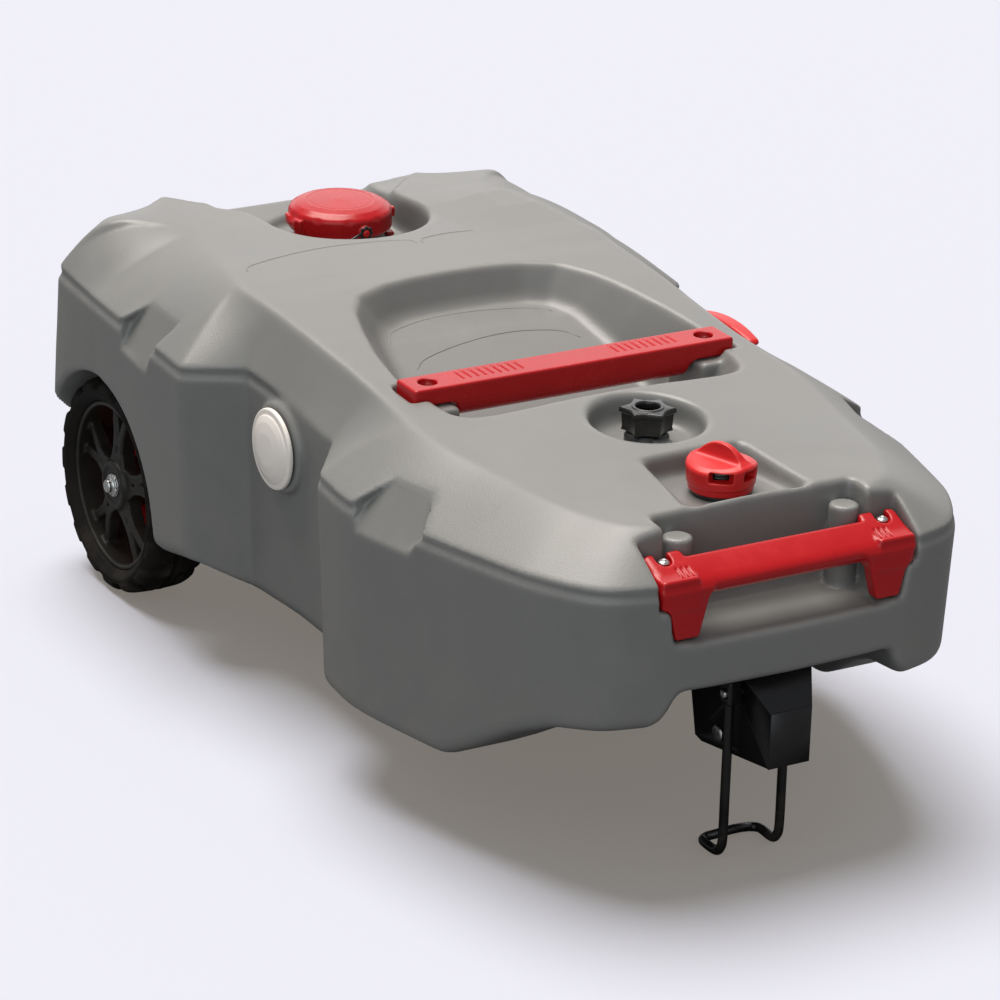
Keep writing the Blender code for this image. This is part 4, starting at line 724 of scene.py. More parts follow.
@dataclass
class TankBody:
    """The hollow moulded body.

    Args:
        wall: Thickness of the wall.
        step: Spacing of the outer surface's points.
        inner_step: Spacing of the inner surface's points.
        arch_edge: Blend of the wheel arches' edges.
        draft: How far the side walls lean in for each metre down.
        corner_flare: How much less they lean at the rear corners.
        map_step: Spacing of the maps' points.
        line_drop: How far below the belt the moulded line lies.
        line_half: Half the line's height.
        line_depth: The line's depth.
        arch_radius: Radius of the wheel arches.
        arch_y: How far out the arches start.
        axle_x: The axle's place along the body.
        axle_z: The axle's height.
        keep: The share of the outer surface's triangles to keep.
        holes: Each fitting's hole: its name, axis, middle, radius and half depth.
    """

    wall: float = 0.0045
    step: float = 0.003
    inner_step: float = 0.006
    arch_edge: float = 0.0065
    draft: float = 0.045
    corner_flare: float = 0.08
    map_step: float = 0.002
    line_drop: float = 0.004
    line_half: float = 0.0036
    line_depth: float = 0.0036
    arch_radius: float = 0.1065
    arch_y: float = 0.168
    axle_x: float = -0.334
    axle_z: float = 0.1016
    keep: float = 0.4
    holes: tuple = (
        ("inlet", Axis.Z, (-0.334, 0.0, 0.3), 0.0428, 0.016),
        ("vent", Axis.Z, (0.326, 0.0, 0.292), 0.0183, 0.012),
        ("rinse", Axis.Z, (0.211, 0.0, 0.295), 0.0148, 0.012),
        ("outlet", Axis.Y, (-0.007, 0.178, 0.135), 0.0408, 0.012),
        ("port", Axis.Y, (-0.044, -0.207, 0.237), 0.0283, 0.014),
    )

    def __post_init__(self) -> None:
        """Works out the maps of the body's outline, top and underside that its field reads."""
        corners = [s.corner for s in STATIONS]
        belt = along_stations(np.array([s.belt for s in STATIONS], float) * MM, corners, 8)
        crease = along_stations(np.array([s.crease for s in STATIONS], float) * MM, corners, 8)
        bulge = along_stations(np.array([[s.bulge] for s in STATIONS], float), [True] * len(corners), 8)
        self.map_x = np.arange(-0.47, 0.47, self.map_step, dtype=np.float32)
        self.map_y = np.arange(0.0, 0.28, self.map_step, dtype=np.float32)
        x, y = np.meshgrid(self.map_x, self.map_y, indexing="ij")
        around = [np.vstack([line[:, :2], line[::-1, :2] * (1, -1)]) for line in (belt, crease)]
        belt_in = -outline_distance(around[0], x, y)
        crease_in = -outline_distance(around[1], x, y)
        belt_z, swell = self._nearest(belt, np.column_stack([belt[:, 2], bulge[:, 0]]), x, y)
        (crease_z,) = self._nearest(crease, crease[:, 2:3], x, y)
        share = np.clip(belt_in / np.maximum(belt_in - crease_in, 1e-6), 0, 1)
        shoulder = belt_z + (crease_z - belt_z) * (1 - (1 - share) ** swell)
        ridge = np.interp(x, np.array(RIDGE_X) * MM, np.array(RIDGE_Z) * MM)
        inward = np.clip(crease_in / np.maximum(crease_in + np.abs(y), 1e-6), 0, 1)
        crown = crease_z + (ridge - crease_z) * np.sin(inward * math.pi / 2)
        top = np.where(crease_in > 0, crown, shoulder)
        self.top = self._mirror_blur(top, 1.3)
        self.side = self._mirror_blur(-belt_in, 1.8)
        self.belt_z = self._mirror_blur(belt_z, 3.0)
        fade = np.interp(x, np.array((-470, -62, -36, 40, 66, 500)) * MM, (1, 1, 0, 0, 1, 1))
        self.line_share = self._mirror_blur(fade, 2.0)
        under = np.interp(x, np.array(UNDER_X) * MM, np.array(UNDER_Z) * MM)
        self.under = self._mirror_blur(under, 2.5)

    def _mirror_blur(self, values: Array, cells: float) -> Array:
        """A half map blurred as if its mirror image lay beyond the middle."""
        whole = np.concatenate([values[:, :0:-1], values], axis=1)
        return blurred(whole, cells)[:, values.shape[1] - 1 :].astype(np.float32)

    @staticmethod
    def _nearest(line: Array, values: Array, x: Array, y: Array) -> list[Array]:
        """For each place, the values at the nearest point of a line, linear along its stretches.

        Args:
            line: The line's points, one a row.
            values: The values at those points, one row each.
            x: The places' x.
            y: The places' y, of the same shape.

        Returns:
            One map for each column of values.
        """
        best = np.full(x.shape, np.inf)
        found = np.zeros((values.shape[1], *x.shape))
        for (a, b), (value_a, value_b) in zip(zip(line, line[1:]), zip(values, values[1:])):
            span = (b - a)[:2]
            t = np.clip(((x - a[0]) * span[0] + (y - a[1]) * span[1]) / max(span @ span, 1e-12), 0, 1)
            away = (x - a[0] - t * span[0]) ** 2 + (y - a[1] - t * span[1]) ** 2
            closer = away < best
            best = np.where(closer, away, best)
            for row, (low, high) in zip(found, zip(value_a, value_b)):
                row[closer] = (low + (high - low) * t)[closer]
        return list(found)

    def read(self, values: Array, x: Array, y: Array) -> Array:
        """A map's values at places, linear between its points, and the same on both sides of the middle.

        Args:
            values: The map.
            x: The places' x.
            y: The places' y.

        Returns:
            The values.
        """
        i = np.clip((x - self.map_x[0]) / self.map_step, 0, values.shape[0] - 1.001)
        j = np.clip(np.abs(y) / self.map_step, 0, values.shape[1] - 1.001)
        i, j = np.broadcast_arrays(i, j)
        a, b = i.astype(int), j.astype(int)
        u, v = i - a, j - b
        low = values[a, b] * (1 - v) + values[a, b + 1] * v
        high = values[a + 1, b] * (1 - v) + values[a + 1, b + 1] * v
        return (low * (1 - u) + high * u).astype(np.float32)

    def outside(self, x: Array, y: Array, z: Array) -> Array:
        """The body's solid shape before its pockets.

        The rounded maximum of the distance past the side wall, which leans in below the belt, the height over
        the top and the depth below the underside.
        """
        side = self.read(self.side, x, y)
        belt = self.read(self.belt_z, x, y)
        top = self.read(self.top, x, y)
        slope_x, slope_y = np.gradient(self.top, self.map_step)
        steep = self.read(np.sqrt(1 + np.clip(slope_x**2 + slope_y**2, 0, 9)).astype(np.float32), x, y)
        lift = np.interp(x, np.array(FAR_X) * MM, np.array(FAR_Z) * MM)
        lift = lift * np.clip((y - 0.072) / 0.056, 0, 1)
        corner = np.clip((-x - 0.33) / 0.07, 0, 1) * np.clip((np.abs(y) - 0.15) / 0.06, 0, 1)
        wall = side + np.maximum(belt - z, 0) * (self.draft - self.corner_flare * corner)
        wall = meet(wall, (z - top - lift) / steep, 0.004)
        line = np.exp(-(((z - belt + self.line_drop) / self.line_half) ** 2)) * self.line_depth
        wall = wall + line * self.read(self.line_share, x, y) * np.clip(1 + side / 0.02, 0, 1)
        return meet(wall, self.read(self.under, x, y) - z, 0.016)

    def _pocket_maps(self) -> None:
        """Works out the distance maps of the hand pocket's rim and floor outlines."""
        rim = [(-126, 0), (-125, 35), (-121, 68), (-109, 103), (-82, 122), (-44, 135), (-2, 146), (40, 152)]
        rim += [(60, 153), (64, 150), (80, 149), (112, 148), (134, 144), (147, 133)]
        rim += [(152, 112), (152, 60), (151, 0)]
        floor = [(-110, 0), (-109, 34), (-105, 62), (-94, 84), (-68, 99), (-30, 106), (10, 110), (50, 113)]
        floor += [(66, 113), (96, 113), (112, 108), (118, 96), (119, 60), (119, 0)]
        x, y = np.meshgrid(self.map_x, self.map_y, indexing="ij")
        maps = []
        for line in (rim, floor):
            half = np.array(line, float) * MM
            outline = np.vstack([half, half[::-1] * (1, -1)])
            maps.append(self._mirror_blur(outline_distance(outline, x, y), 1.6))
        self.pocket_rim, self.pocket_floor = maps

    def _hand_pocket(self, x: Array, y: Array, z: Array) -> Array:
        """The pocket that the middle handle crosses.

        Its wall leans from the floor's outline to the rim's, as the height grows from the floor to the top,
        and its floor falls towards the front.
        """
        floor = np.interp(x, POCKET_FLOOR_X, POCKET_FLOOR_Z)
        top = np.interp(x, (-0.112, 0.15), (0.342, 0.322))
        rise = np.clip((z - floor) / (top - floor), 0.0, 1.3)
        wall = self.read(self.pocket_floor, x, y) * (1 - rise) + self.read(self.pocket_rim, x, y) * rise
        return meet(wall, floor - z, 0.009)

    def _notch(self, lattice: Lattice, outline: Sequence[tuple], reach: float, sign: int) -> None:
        """Sinks one shoulder notch.

        Its floor is a flat that runs straight down from the shoulder to the side wall, across the belt's
        edge, inside an outline in x and z.

        Args:
            lattice: The block that it is taken from.
            outline: The notch's corners in millimetres, from the belt's rear end over the top.
            reach: How far inside the body's outline the floor's upper edge lies.
            sign: 1 on the far side, -1 on the near side.
        """
        corners = np.array(outline) * MM
        low, high = corners.min(axis=0) - 0.012, corners.max(axis=0) + 0.012
        near, far = sorted((sign * 0.15, sign * 0.27))
        part, (x, y, z) = lattice.part((low[0], near, low[1]), (high[0], far, high[1]))
        top, foot = corners[:, 1].max(), corners[:, 1].min()
        floor = -0.0015 - (reach - 0.0015) * (z - foot) / (top - foot)
        lean = math.cos(math.atan2(reach, top - foot))
        beyond = (self.read(self.side, x, y) - floor) * lean
        inside = -outline_distance(corners, x[:, 0] + 0 * z[0], z[0] + 0 * x[:, 0])[:, None] + 0 * y
        lattice.values[part] = meet(lattice.values[part], join(beyond, inside, 0.0035), 0.0038)

    def _cut_sides(self, lattice: Lattice) -> None:
        """Takes away the wheel arches and the shoulder notches."""
        rear = ((-272, 284), (-254, 304), (-198, 304), (-199, 286), (-216, 257), (-269, 262))
        front = ((163, 268), (177, 288), (218, 290), (246, 268), (232, 248), (168, 247))
        for sign in (1, -1):
            self._notch(lattice, rear, 0.0275, sign)
            self._notch(lattice, front, 0.034, sign)
            for shift, radius in ((0.0, self.arch_radius), (0.008, self.arch_radius + 0.003)):
                side = (self.axle_x + shift, sign * (self.arch_y + 0.1), self.axle_z)
                arch = disc_field(Axis.Y, side, radius, 0.1, 0.004)
                lattice.cut(arch, (-0.47, min(0, sign), 0.0), (-0.18, max(0, sign), 0.24), self.arch_edge)
            low = (-0.6, sign * self.arch_y if sign > 0 else -0.4, -0.1)
            high = (-0.36, 0.4 if sign > 0 else -self.arch_y, 0.139)
            skirt = box_field(low, high, 0.004)
            lattice.cut(skirt, (-0.47, min(0, sign), 0.0), (-0.3, max(0, sign), 0.2), 0.006)

    def _add_seats(self, lattice: Lattice) -> None:
        """Raises the blocks that the middle handle's ends are screwed to, and clears its seats on them."""
        for sign in (1, -1):
            near, far = sorted((sign * 0.1185, sign * 0.175))
            block = box_field((0.052, near, 0.24), (0.109, far, 0.3117), 0.005)
            lattice.add(block, (0.03, near - 0.02, 0.23), (0.13, far + 0.02, 0.34), 0.006)
        seat = box_field((0.0615, -0.16, 0.3117), (0.0985, 0.16, 0.4), 0.003)
        lattice.cut(seat, (0.03, -0.18, 0.29), (0.13, 0.18, 0.36), 0.003)

    def _cut_top(self, lattice: Lattice) -> None:
        """Takes away the inlet's, rinse port's and vent's recesses and the hand pocket."""
        for shift, radius in ((0.0, 0.072), (0.018, 0.072)):
            inlet = disc_field(Axis.Z, (self.axle_x + shift, 0, 0.402), radius, 0.1, 0.008)
            lattice.cut(inlet, (-0.47, -0.1, 0.28), (-0.23, 0.1, 0.36), 0.008)
        floor = ((-0.47, 0.083, 0.3185), (-0.334, 0.069, 0.3022))
        top = ((-0.47, 0.098, 0.4), (-0.334, 0.072, 0.4))
        lattice.cut(trough_field(floor, top, 0.008), (-0.47, -0.12, 0.28), (-0.3, 0.12, 0.36), 0.008)
        lattice.cut(self._hand_pocket, (-0.16, -0.19, 0.22), (0.17, 0.19, 0.36), 0.0045)

        def bowl(x: Array, y: Array, z: Array) -> Array:
            """A bowl: a cone that opens upwards, over a flat floor."""
            out = np.sqrt((x - 0.211) ** 2 + y * y)
            return meet(out - 0.0445 - (z - 0.3) * 0.25, 0.2972 - z, 0.01)

        lattice.cut(bowl, (0.14, -0.08, 0.28), (0.29, 0.08, 0.36), 0.007)
        floor = ((0.283, 0.044, 0.2945), (0.366, 0.05, 0.2945))
        top = ((0.283 - 0.01, 0.058, 0.35), (0.366, 0.078, 0.35))
        lattice.cut(trough_field(floor, top, 0.008), (0.24, -0.1, 0.27), (0.42, 0.1, 0.36), 0.006)

    def _cut_nose(self, lattice: Lattice) -> None:
        """Takes away the front handle's hand space and seats and the channel below, and adds the bosses."""
        floor = ((0.38, 0.09, 0.2238), (0.52, 0.093, 0.2238 - 0.004))
        top = ((0.367, 0.099, 0.35), (0.52, 0.099, 0.35))
        lattice.cut(trough_field(floor, top, 0.008), (0.33, -0.13, 0.2), (0.47, 0.13, 0.36), 0.006)
        for sign in (1, -1):
            seat = leg_field(sign, (0.3957, 0.52), (0.07, 0.1217, 0.2512), (0.07, 0.1217, 0.36), 0.003)
            lattice.cut(seat, (0.36, min(0, sign), 0.23), (0.47, max(0, sign), 0.36), 0.004)
            leg = leg_field(sign, (0.4196, 0.52), (0.08, 0.1075, 0.2228), (0.08, 0.1175, 0.28), 0.003)
            lattice.cut(leg, (0.39, min(0, sign), 0.2), (0.47, max(0, sign), 0.3), 0.004)
        self._add_seats(lattice)
        for sign in (1, -1):
            boss = disc_field(Axis.Z, (0.388, sign * 0.079, 0.2), 0.0125, 0.093, 0.002)
            near, far = sorted((sign * 0.055, sign * 0.1))
            lattice.add(boss, (0.365, near, 0.215), (0.41, far, 0.31), 0.003)
        floor, roof = ((0.204, 0.1875, 0.0), (0.6, 0.1875, 0.0)), ((0.204, 0.1, 0.178), (0.6, 0.1, 0.178))
        lattice.cut(trough_field(floor, roof, 0.008), (0.17, -0.2, 0.06), (0.47, 0.2, 0.21), 0.01)

    def _finish_sides(self, lattice: Lattice) -> None:
        """Cuts the axle's slot and the valve's scoop, and adds the port's boss."""
        slot = box_field((self.axle_x - 0.0112, -0.4, -0.2), (self.axle_x + 0.0112, 0.4, 0.1085), 0.003)
        lattice.cut(slot, (-0.37, -0.2, 0.06), (-0.3, 0.2, 0.13), 0.003)
        boss = disc_field(Axis.Y, (-0.044, -0.2, 0.237), 0.04, 0.013, 0.004)
        lattice.add(boss, (-0.12, -0.23, 0.17), (0.03, -0.17, 0.31), 0.006)
        scoop = box_field((-0.0692, 0.1795, -0.2), (0.0552, 0.5, 0.2695), 0.008)
        lattice.cut(scoop, (-0.1, 0.15, 0.06), (0.09, 0.27, 0.3), 0.008)

    def field_block(self, step: float) -> Lattice:
        """The body with all its pockets, worked out over a block of points a step apart."""
        lattice = Lattice((-0.456, -0.268, 0.066), (0.456, 0.268, 0.352), step).fill(self.outside)
        self._cut_sides(lattice)
        self._cut_top(lattice)
        self._cut_nose(lattice)
        self._finish_sides(lattice)
        return lattice

    def build(self) -> bpy.types.Object:
        """The whole body as one closed mesh, hollow, with its holes for the fittings."""
        self._pocket_maps()
        lattice = self.field_block(self.step)
        points, faces = lattice.net()
        body = new_object("tank_body", new_mesh("tank_body", points, faces))
        thinned(body, self.keep)
        ratio = round(self.inner_step / self.step)
        cavity = Lattice(lattice.low, lattice.high, self.inner_step)
        cavity.axes = [axis[::ratio] for axis in lattice.axes]
        cavity.values = lattice.values[::ratio, ::ratio, ::ratio] + self.wall
        points, faces = cavity.net()
        hollow = new_object("tank_cavity", new_mesh("tank_cavity", points, faces))
        thinned(hollow, self.keep / 2)
        carve(body, hollow)
        for tag, axis, centre, radius, depth in self.holes:
            profile = [(0.0, depth), (radius, depth), (radius, -depth), (0.0, -depth)]
            carve(body, turned(f"hole_{tag}", np.array(profile), axis, centre, 64))
        shade_by_slope(body, lattice, inner=True)
        return body


@dataclass
class PanelLines:
    """The thin moulded lines round the plain fields on the top and on the hand pocket's floor.

    Args:
        body: The body that they lie on.
        radius: Half their width.
        top: The x and y of the lines on the top, in millimetres.
        floor: The x and y of the lines on the pocket's floor, in millimetres.
    """

    body: TankBody
    radius: float = 0.0011
    top: tuple = (
        ((-206, -160), (-219, -151), (-231, -109), (-235, -66), (-229, -20), (-219, 8), (-208, 12)),
        ((-205, 16), (-218, 24), (-222, 58), (-213, 103), (-201, 133), (-190, 139)),
    )
    floor: tuple = (
        ((-70, -90), (-88, -78), (-100, -39), (-101, 9), (-92, 60), (-80, 80)),
        ((-32, -84), (-44, -68), (-56, -23), (-60, 25), (-52, 68), (-38, 84)),
    )

    def build(self) -> None:
        """Makes the lines as low ribs, each rather more than half sunk in the surface."""
        for field, lines in (("top", self.top), ("pocket", self.floor)):
            for i, path in enumerate(lines):
                x, y = curve_through([(*p, 0.0) for p in path])[:, :2].T * MM
                if field == "top":
                    height = self.body.read(self.body.top, x, y)
                else:
                    height = np.interp(x, POCKET_FLOOR_X, POCKET_FLOOR_Z)
                rib = np.column_stack([x, y, height - self.radius * 0.55])
                fit(swept(f"{field}_line_{i + 1}", rib, self.radius, 8), "tank", Slot.TANK)


def swept(name: str, path: Array, radius: float, sides: int = 14) -> bpy.types.Object:
    """A round bar carried along a path.

    At each point of the path a ring of the given radius stands square to the path's direction, on a pair of
    axes that is carried from point to point with as little turning as can be. The first and last ring are
    smaller, and each is closed to a point that lies BAR_TIP of the radius further on.

    Args:
        name: The piece's name.
        path: The points of its middle line, one a row.
        radius: The bar's radius.
        sides: Points round each ring.

    Returns:
        The object.
    """
    ahead = np.gradient(path, axis=0)
    ahead /= np.linalg.norm(ahead, axis=1, keepdims=True)
    start = np.cross(ahead[0], np.eye(3)[np.argmin(np.abs(ahead[0]))])
    across = [start / np.linalg.norm(start)]
    for direction in ahead[1:]:
        carried = across[-1] - direction * (across[-1] @ direction)
        across.append(carried / np.linalg.norm(carried))
    first = np.array(across)[:, None]
    second = np.cross(ahead, first[:, 0])[:, None]
    turn = (np.arange(sides) * math.tau / sides)[None, :, None]
    scale = np.full((len(path), 1, 1), radius)
    scale[[0, -1]] *= BAR_END
    points = path[:, None] + scale * (first * np.cos(turn) + second * np.sin(turn))
    ends = [path[0] - ahead[0] * radius * BAR_TIP, path[-1] + ahead[-1] * radius * BAR_TIP]
    rings = np.arange(len(path) * sides).reshape(len(path), sides)
    low, high = rings[:-1], rings[1:]
    quads = np.stack([low, np.roll(low, -1, 1), np.roll(high, -1, 1), high], axis=-1).reshape(-1, 4)
    first_end, last_end = len(path) * sides, len(path) * sides + 1
    begin = np.stack([np.full(sides, first_end), np.roll(rings[0], -1), rings[0]], axis=-1)
    finish = np.stack([np.full(sides, last_end), rings[-1], np.roll(rings[-1], -1)], axis=-1)
    mesh = new_mesh(name, np.vstack([points.reshape(-1, 3), ends]), quads, begin, finish)
    mesh.shade_smooth()
    return new_object(name, mesh)


def curve_through(points: Sequence[Point], parts: int = 8) -> Array:
    """A smooth curve through points, in the way of along_stations."""
    return along_stations(np.array(points, float), [False] * len(points), parts)


def hexagon(half: float) -> Field:
    """Turns a circle into a hexagon: half its width over the cosine of the turn from the nearest flat.

    Args:
        half: Half the width across the flats.

    Returns:
        What to add to each radius.
    """

    def swell(turn: Array, radius: Array, height: Array) -> Array:
        """What the hexagon adds to each radius."""
        off = np.mod(turn + math.pi / 6, math.pi / 3) - math.pi / 6
        return np.where(radius > half * 0.98, radius / np.cos(off) - radius, 0.0)

    return swell


def softened(name: str, source: bpy.types.Object, width: float) -> bpy.types.Object:
    """A copy of a node with its loose triangles merged and its edges bevelled.

    Args:
        name: The copy's name.
        source: The node.
        width: The bevels' width.

    Returns:
        The object.
    """
    shape = bmesh.new()
    shape.from_mesh(source.data)
    bmesh.ops.remove_doubles(shape, verts=shape.verts, dist=1e-5)
    bmesh.ops.dissolve_limit(shape, angle_limit=math.radians(2), verts=shape.verts, edges=shape.edges)
    mesh = bpy.data.meshes.new(name)
    shape.to_mesh(mesh)
    shape.free()
    made = new_object(name, mesh)
    bevel = made.modifiers.new("soft_edges", "BEVEL")
    bevel.width = width
    bevel.segments = 2
    bevel.limit_method = "ANGLE"
    bevel.angle_limit = math.radians(35)
    bevel.use_clamp_overlap = True
    bevel.harden_normals = True
    apply_modifiers(made)
    made.data.shade_smooth()
    made.data.set_sharp_from_angle(angle=math.radians(40))
    return made


@dataclass
class Wiring:
    """Places shader nodes in one tree and wires them.

    Args:
        tree: The tree.
    """

    tree: bpy.types.NodeTree

    def add(self, kind: str, wires: dict | None = None, **settings: object) -> bpy.types.Node:
        """Places one node.

        Args:
            kind: The node's type.
            wires: For each input, by name or number, the output that feeds it or its own value.
            settings: The node's settings.

        Returns:
            The node.
        """
        node = self.tree.nodes.new(kind)
        node.location = (190 * (len(self.tree.nodes) % 8), -260 * (len(self.tree.nodes) // 8))
        for name, value in settings.items():
            setattr(node, name, value)
        self.feed(node, wires or {})
        return node

    def feed(self, node: bpy.types.Node, wires: dict) -> None:
        """Gives each input, by name or number, the output that feeds it or its own value."""
        for name, value in wires.items():
            if isinstance(value, bpy.types.NodeSocket):
                self.tree.links.new(value, node.inputs[name])
            else:
                node.inputs[name].default_value = value

    def math(self, operation: str, *values: object, clamp: bool = False) -> object:
        """The output of one Math node."""
        wires = dict(enumerate(values))
        return self.add("ShaderNodeMath", wires, operation=operation, use_clamp=clamp).outputs[0]

    def noise(self, place: object, scale: object, detail: float, roughness: float = 0.5) -> object:
        """The output of one Noise node."""
        wires = {"Vector": place, "Scale": scale, "Detail": detail, "Roughness": roughness}
        return self.add("ShaderNodeTexNoise", wires).outputs["Fac"]

    def ramp(self, value: object, low: float, high: float) -> object:
        """A value's smooth rise from 0 at low to 1 at high."""
        wires = {"Value": value, "From Min": low, "From Max": high}
        return self.add("ShaderNodeMapRange", wires, interpolation_type="SMOOTHSTEP").outputs["Result"]

    def mix(self, share: object, first: object, second: object) -> object:
        """Two colours mixed."""
        return self.add("ShaderNodeMix", {0: share, 6: first, 7: second}, data_type="RGBA").outputs[2]


Socket = tuple[str, str, float | None]
POSITION: Socket = ("Position", "NodeSocketVector", None)


def effect(
    name: str, inputs: Sequence[Socket], output: str, wire: Callable[[Wiring, dict], object]
) -> bpy.types.NodeTree:
    """A shader node group with one output, built the first time that it is asked for.

    Args:
        name: The group's name.
        inputs: Each input's name, socket type and value.
        output: The output's name.
        wire: Wires the group, from its inputs by name to what it puts out.

    Returns:
        The group.
    """
    if name in bpy.data.node_groups:
        return bpy.data.node_groups[name]
    group = bpy.data.node_groups.new(name, "ShaderNodeTree")
    for label, kind, value in inputs:
        socket = group.interface.new_socket(label, in_out="INPUT", socket_type=kind)
        if value is not None:
            socket.default_value = value
    group.interface.new_socket(output, in_out="OUTPUT", socket_type="NodeSocketFloat")
    wiring = Wiring(group)
    entry = wiring.add("NodeGroupInput")
    result = wire(wiring, {socket.name: socket for socket in entry.outputs})
    wiring.add("NodeGroupOutput", {output: result})
    return group


def mottle(wiring: Wiring, given: dict) -> object:
    """Soft clouds: two scales of noise, added and spread about the middle."""
    broad = wiring.noise(given["Position"], given["Scale"], 4.0, 0.55)
    fine = wiring.noise(given["Position"], wiring.math("MULTIPLY", given["Scale"], 7.3), 3.0)
    return wiring.ramp(wiring.math("MULTIPLY_ADD", fine, 0.35, broad), 0.45, 0.92)


def grain(wiring: Wiring, given: dict) -> object:
    """Fine moulded grain: small rounded pits from a cell pattern, over a finer noise."""
    cells = wiring.add("ShaderNodeTexVoronoi", {"Vector": given["Position"], "Scale": given["Scale"]})
    fine = wiring.noise(given["Position"], wiring.math("MULTIPLY", given["Scale"], 1.7), 2.0)
    pits = wiring.math("MULTIPLY", cells.outputs["Distance"], 0.6)
    return wiring.math("ADD", pits, wiring.math("MULTIPLY", fine, 0.6))


def streaks(wiring: Wiring, given: dict) -> object:
    """Drawn or rolled streaks: noise that is stretched along one direction of the piece."""
    wires = {"Vector": given["Position"], "Scale": (1.0, 0.06, 1.0)}
    return wiring.noise(wiring.add("ShaderNodeMapping", wires).outputs["Vector"], given["Scale"], 5.0)


def edge_wear(wiring: Wiring, given: dict) -> object:
    """Rubbed edges: how sharply the surface bends outwards, broken up by noise."""
    edge = wiring.add("ShaderNodeAttribute", attribute_name="edge").outputs["Fac"]
    broken = wiring.ramp(wiring.noise(given["Position"], given["Scale"], 6.0, 0.7), 0.35, 0.7)
    lifted = wiring.math("MULTIPLY", edge, wiring.math("MULTIPLY_ADD", broken, 0.7, 0.5))
    return wiring.math("MULTIPLY", lifted, given["Amount"], clamp=True)


def dust_and_painted_bounce(wiring: Wiring, given: dict) -> object:
    """A dusting from the road with painted warm light bounced up from the floor: thick near the ground and
    gone at a height, in patches.
    """
    height = wiring.add("ShaderNodeSeparateXYZ", {0: given["Position"]}).outputs["Z"]
    low = wiring.math("DIVIDE", height, given["Top"])
    near = wiring.math("SUBTRACT", 1.0, wiring.ramp(low, 0.0, 1.0))
    patches = wiring.ramp(wiring.noise(given["Position"], 38.0, 7.0, 0.65), 0.38, 0.74)
    return wiring.math("MULTIPLY", wiring.math("MULTIPLY", near, patches), given["Amount"], clamp=True)


SCALE: Socket = ("Scale", "NodeSocketFloat", 20.0)
AMOUNT: Socket = ("Amount", "NodeSocketFloat", 1.0)
TOP: Socket = ("Top", "NodeSocketFloat", 0.2)
Colour = tuple[float, float, float, float]
# Warm brown of a road dusting, which low on the tank also paints warm light bounced up from the floor.
DUST_AND_BOUNCE: Colour = (0.3, 0.25, 0.2, 1.0)


@dataclass(frozen=True)
class Finish:
    """How one kind of surface looks.

    Args:
        colour: Its main colour.
        other: The colour that it drifts towards in soft clouds.
        roughness: How rough it is, from 0 for a mirror.
        rough_drift: How far its roughness drifts up and down.
        grain_scale: Pits a metre in its grain.
        grain_depth: Depth of the grain.
        cloud_scale: Clouds a metre.
        metallic: Whether it is metal.
        rubbed: The colour of its rubbed edges.
        rub: How much of them shows.
        dust_and_bounce: How much dusting, with painted warm bounce light from the floor, lies on its lower
            part.
        dust_and_bounce_top: The height where the dusting and the painted bounce end.
        drawn: Whether its grain is drawn into streaks.
        gloss: How strongly it reflects at its surface.
    """

    colour: Colour
    other: Colour
    roughness: float = 0.45
    rough_drift: float = 0.08
    grain_scale: float = 900.0
    grain_depth: float = 0.00006
    cloud_scale: float = 9.0
    metallic: float = 0.0
    rubbed: Colour = (0.5, 0.5, 0.5, 1.0)
    rub: float = 0.3
    dust_and_bounce: float = 0.0
    dust_and_bounce_top: float = 0.2
    drawn: bool = False
    gloss: float = 0.5

    def material(self, name: str) -> bpy.types.Material:
        """The finish as a material, made the first time that it is asked for."""
        if name in bpy.data.materials:
            return bpy.data.materials[name]
        made = bpy.data.materials.new(name)
        made.use_nodes = True
        shader = made.node_tree.nodes["Principled BSDF"]
        wiring = Wiring(made.node_tree)
        place = wiring.add("ShaderNodeTexCoord").outputs["Object"]

        def use(title: str, sockets: list[Socket], output: str, wire: Callable, **values: float) -> object:
            """One effect placed in the material with its own values."""
            group = effect(title, [POSITION, *sockets], output, wire)
            return wiring.add("ShaderNodeGroup", {"Position": place, **values}, node_tree=group).outputs[0]

        clouds = use("Mottle", [SCALE], "Mask", mottle, Scale=self.cloud_scale)
        title, wire = ("Drawn streaks", streaks) if self.drawn else ("Moulded grain", grain)
        relief = use(title, [SCALE], "Height", wire, Scale=self.grain_scale)
        worn = use("Edge wear", [SCALE, AMOUNT], "Mask", edge_wear, Scale=60.0, Amount=self.rub)
        # The dusting mask, which also paints warm light bounced up from the floor onto the lower parts.
        dust_and_bounce_mask = use("Settled dust", [TOP, AMOUNT], "Mask", dust_and_painted_bounce, Top=self.dust_and_bounce_top, Amount=self.dust_and_bounce)
        colour = wiring.mix(clouds, self.colour, self.other)
        colour = wiring.mix(worn, colour, self.rubbed)
        colour = wiring.mix(dust_and_bounce_mask, colour, DUST_AND_BOUNCE)
        base = self.roughness - self.rough_drift / 2
        drift = wiring.math("MULTIPLY_ADD", clouds, self.rough_drift, base)
        rough = wiring.math("ADD", drift, wiring.math("MULTIPLY", dust_and_bounce_mask, 0.3), clamp=True)
        wires = {"Height": relief, "Distance": self.grain_depth, "Strength": 1.0}
        bump = wiring.add("ShaderNodeBump", wires).outputs["Normal"]
        wiring.feed(shader, {"Base Color": colour, "Roughness": rough, "Normal": bump})
        wiring.feed(shader, {"Metallic": self.metallic, "Specular IOR Level": self.gloss})
        return made


class Slot(Enum):
    """The finishes that the pieces take, each named as the record's material slot."""

    TANK = "tank"
    RED = "red_plastic"
    BRIGHT_RED = "bright_red_plastic"
    BLACK = "black_plastic"
    COLLAR = "collar_plastic"
    WHITE = "white_plastic"
    TYRE = "tyre"
    RIM = "rim_plastic"
    ZINC = "zinc"
    STEEL = "black_steel"
    SEAL = "seal_rubber"


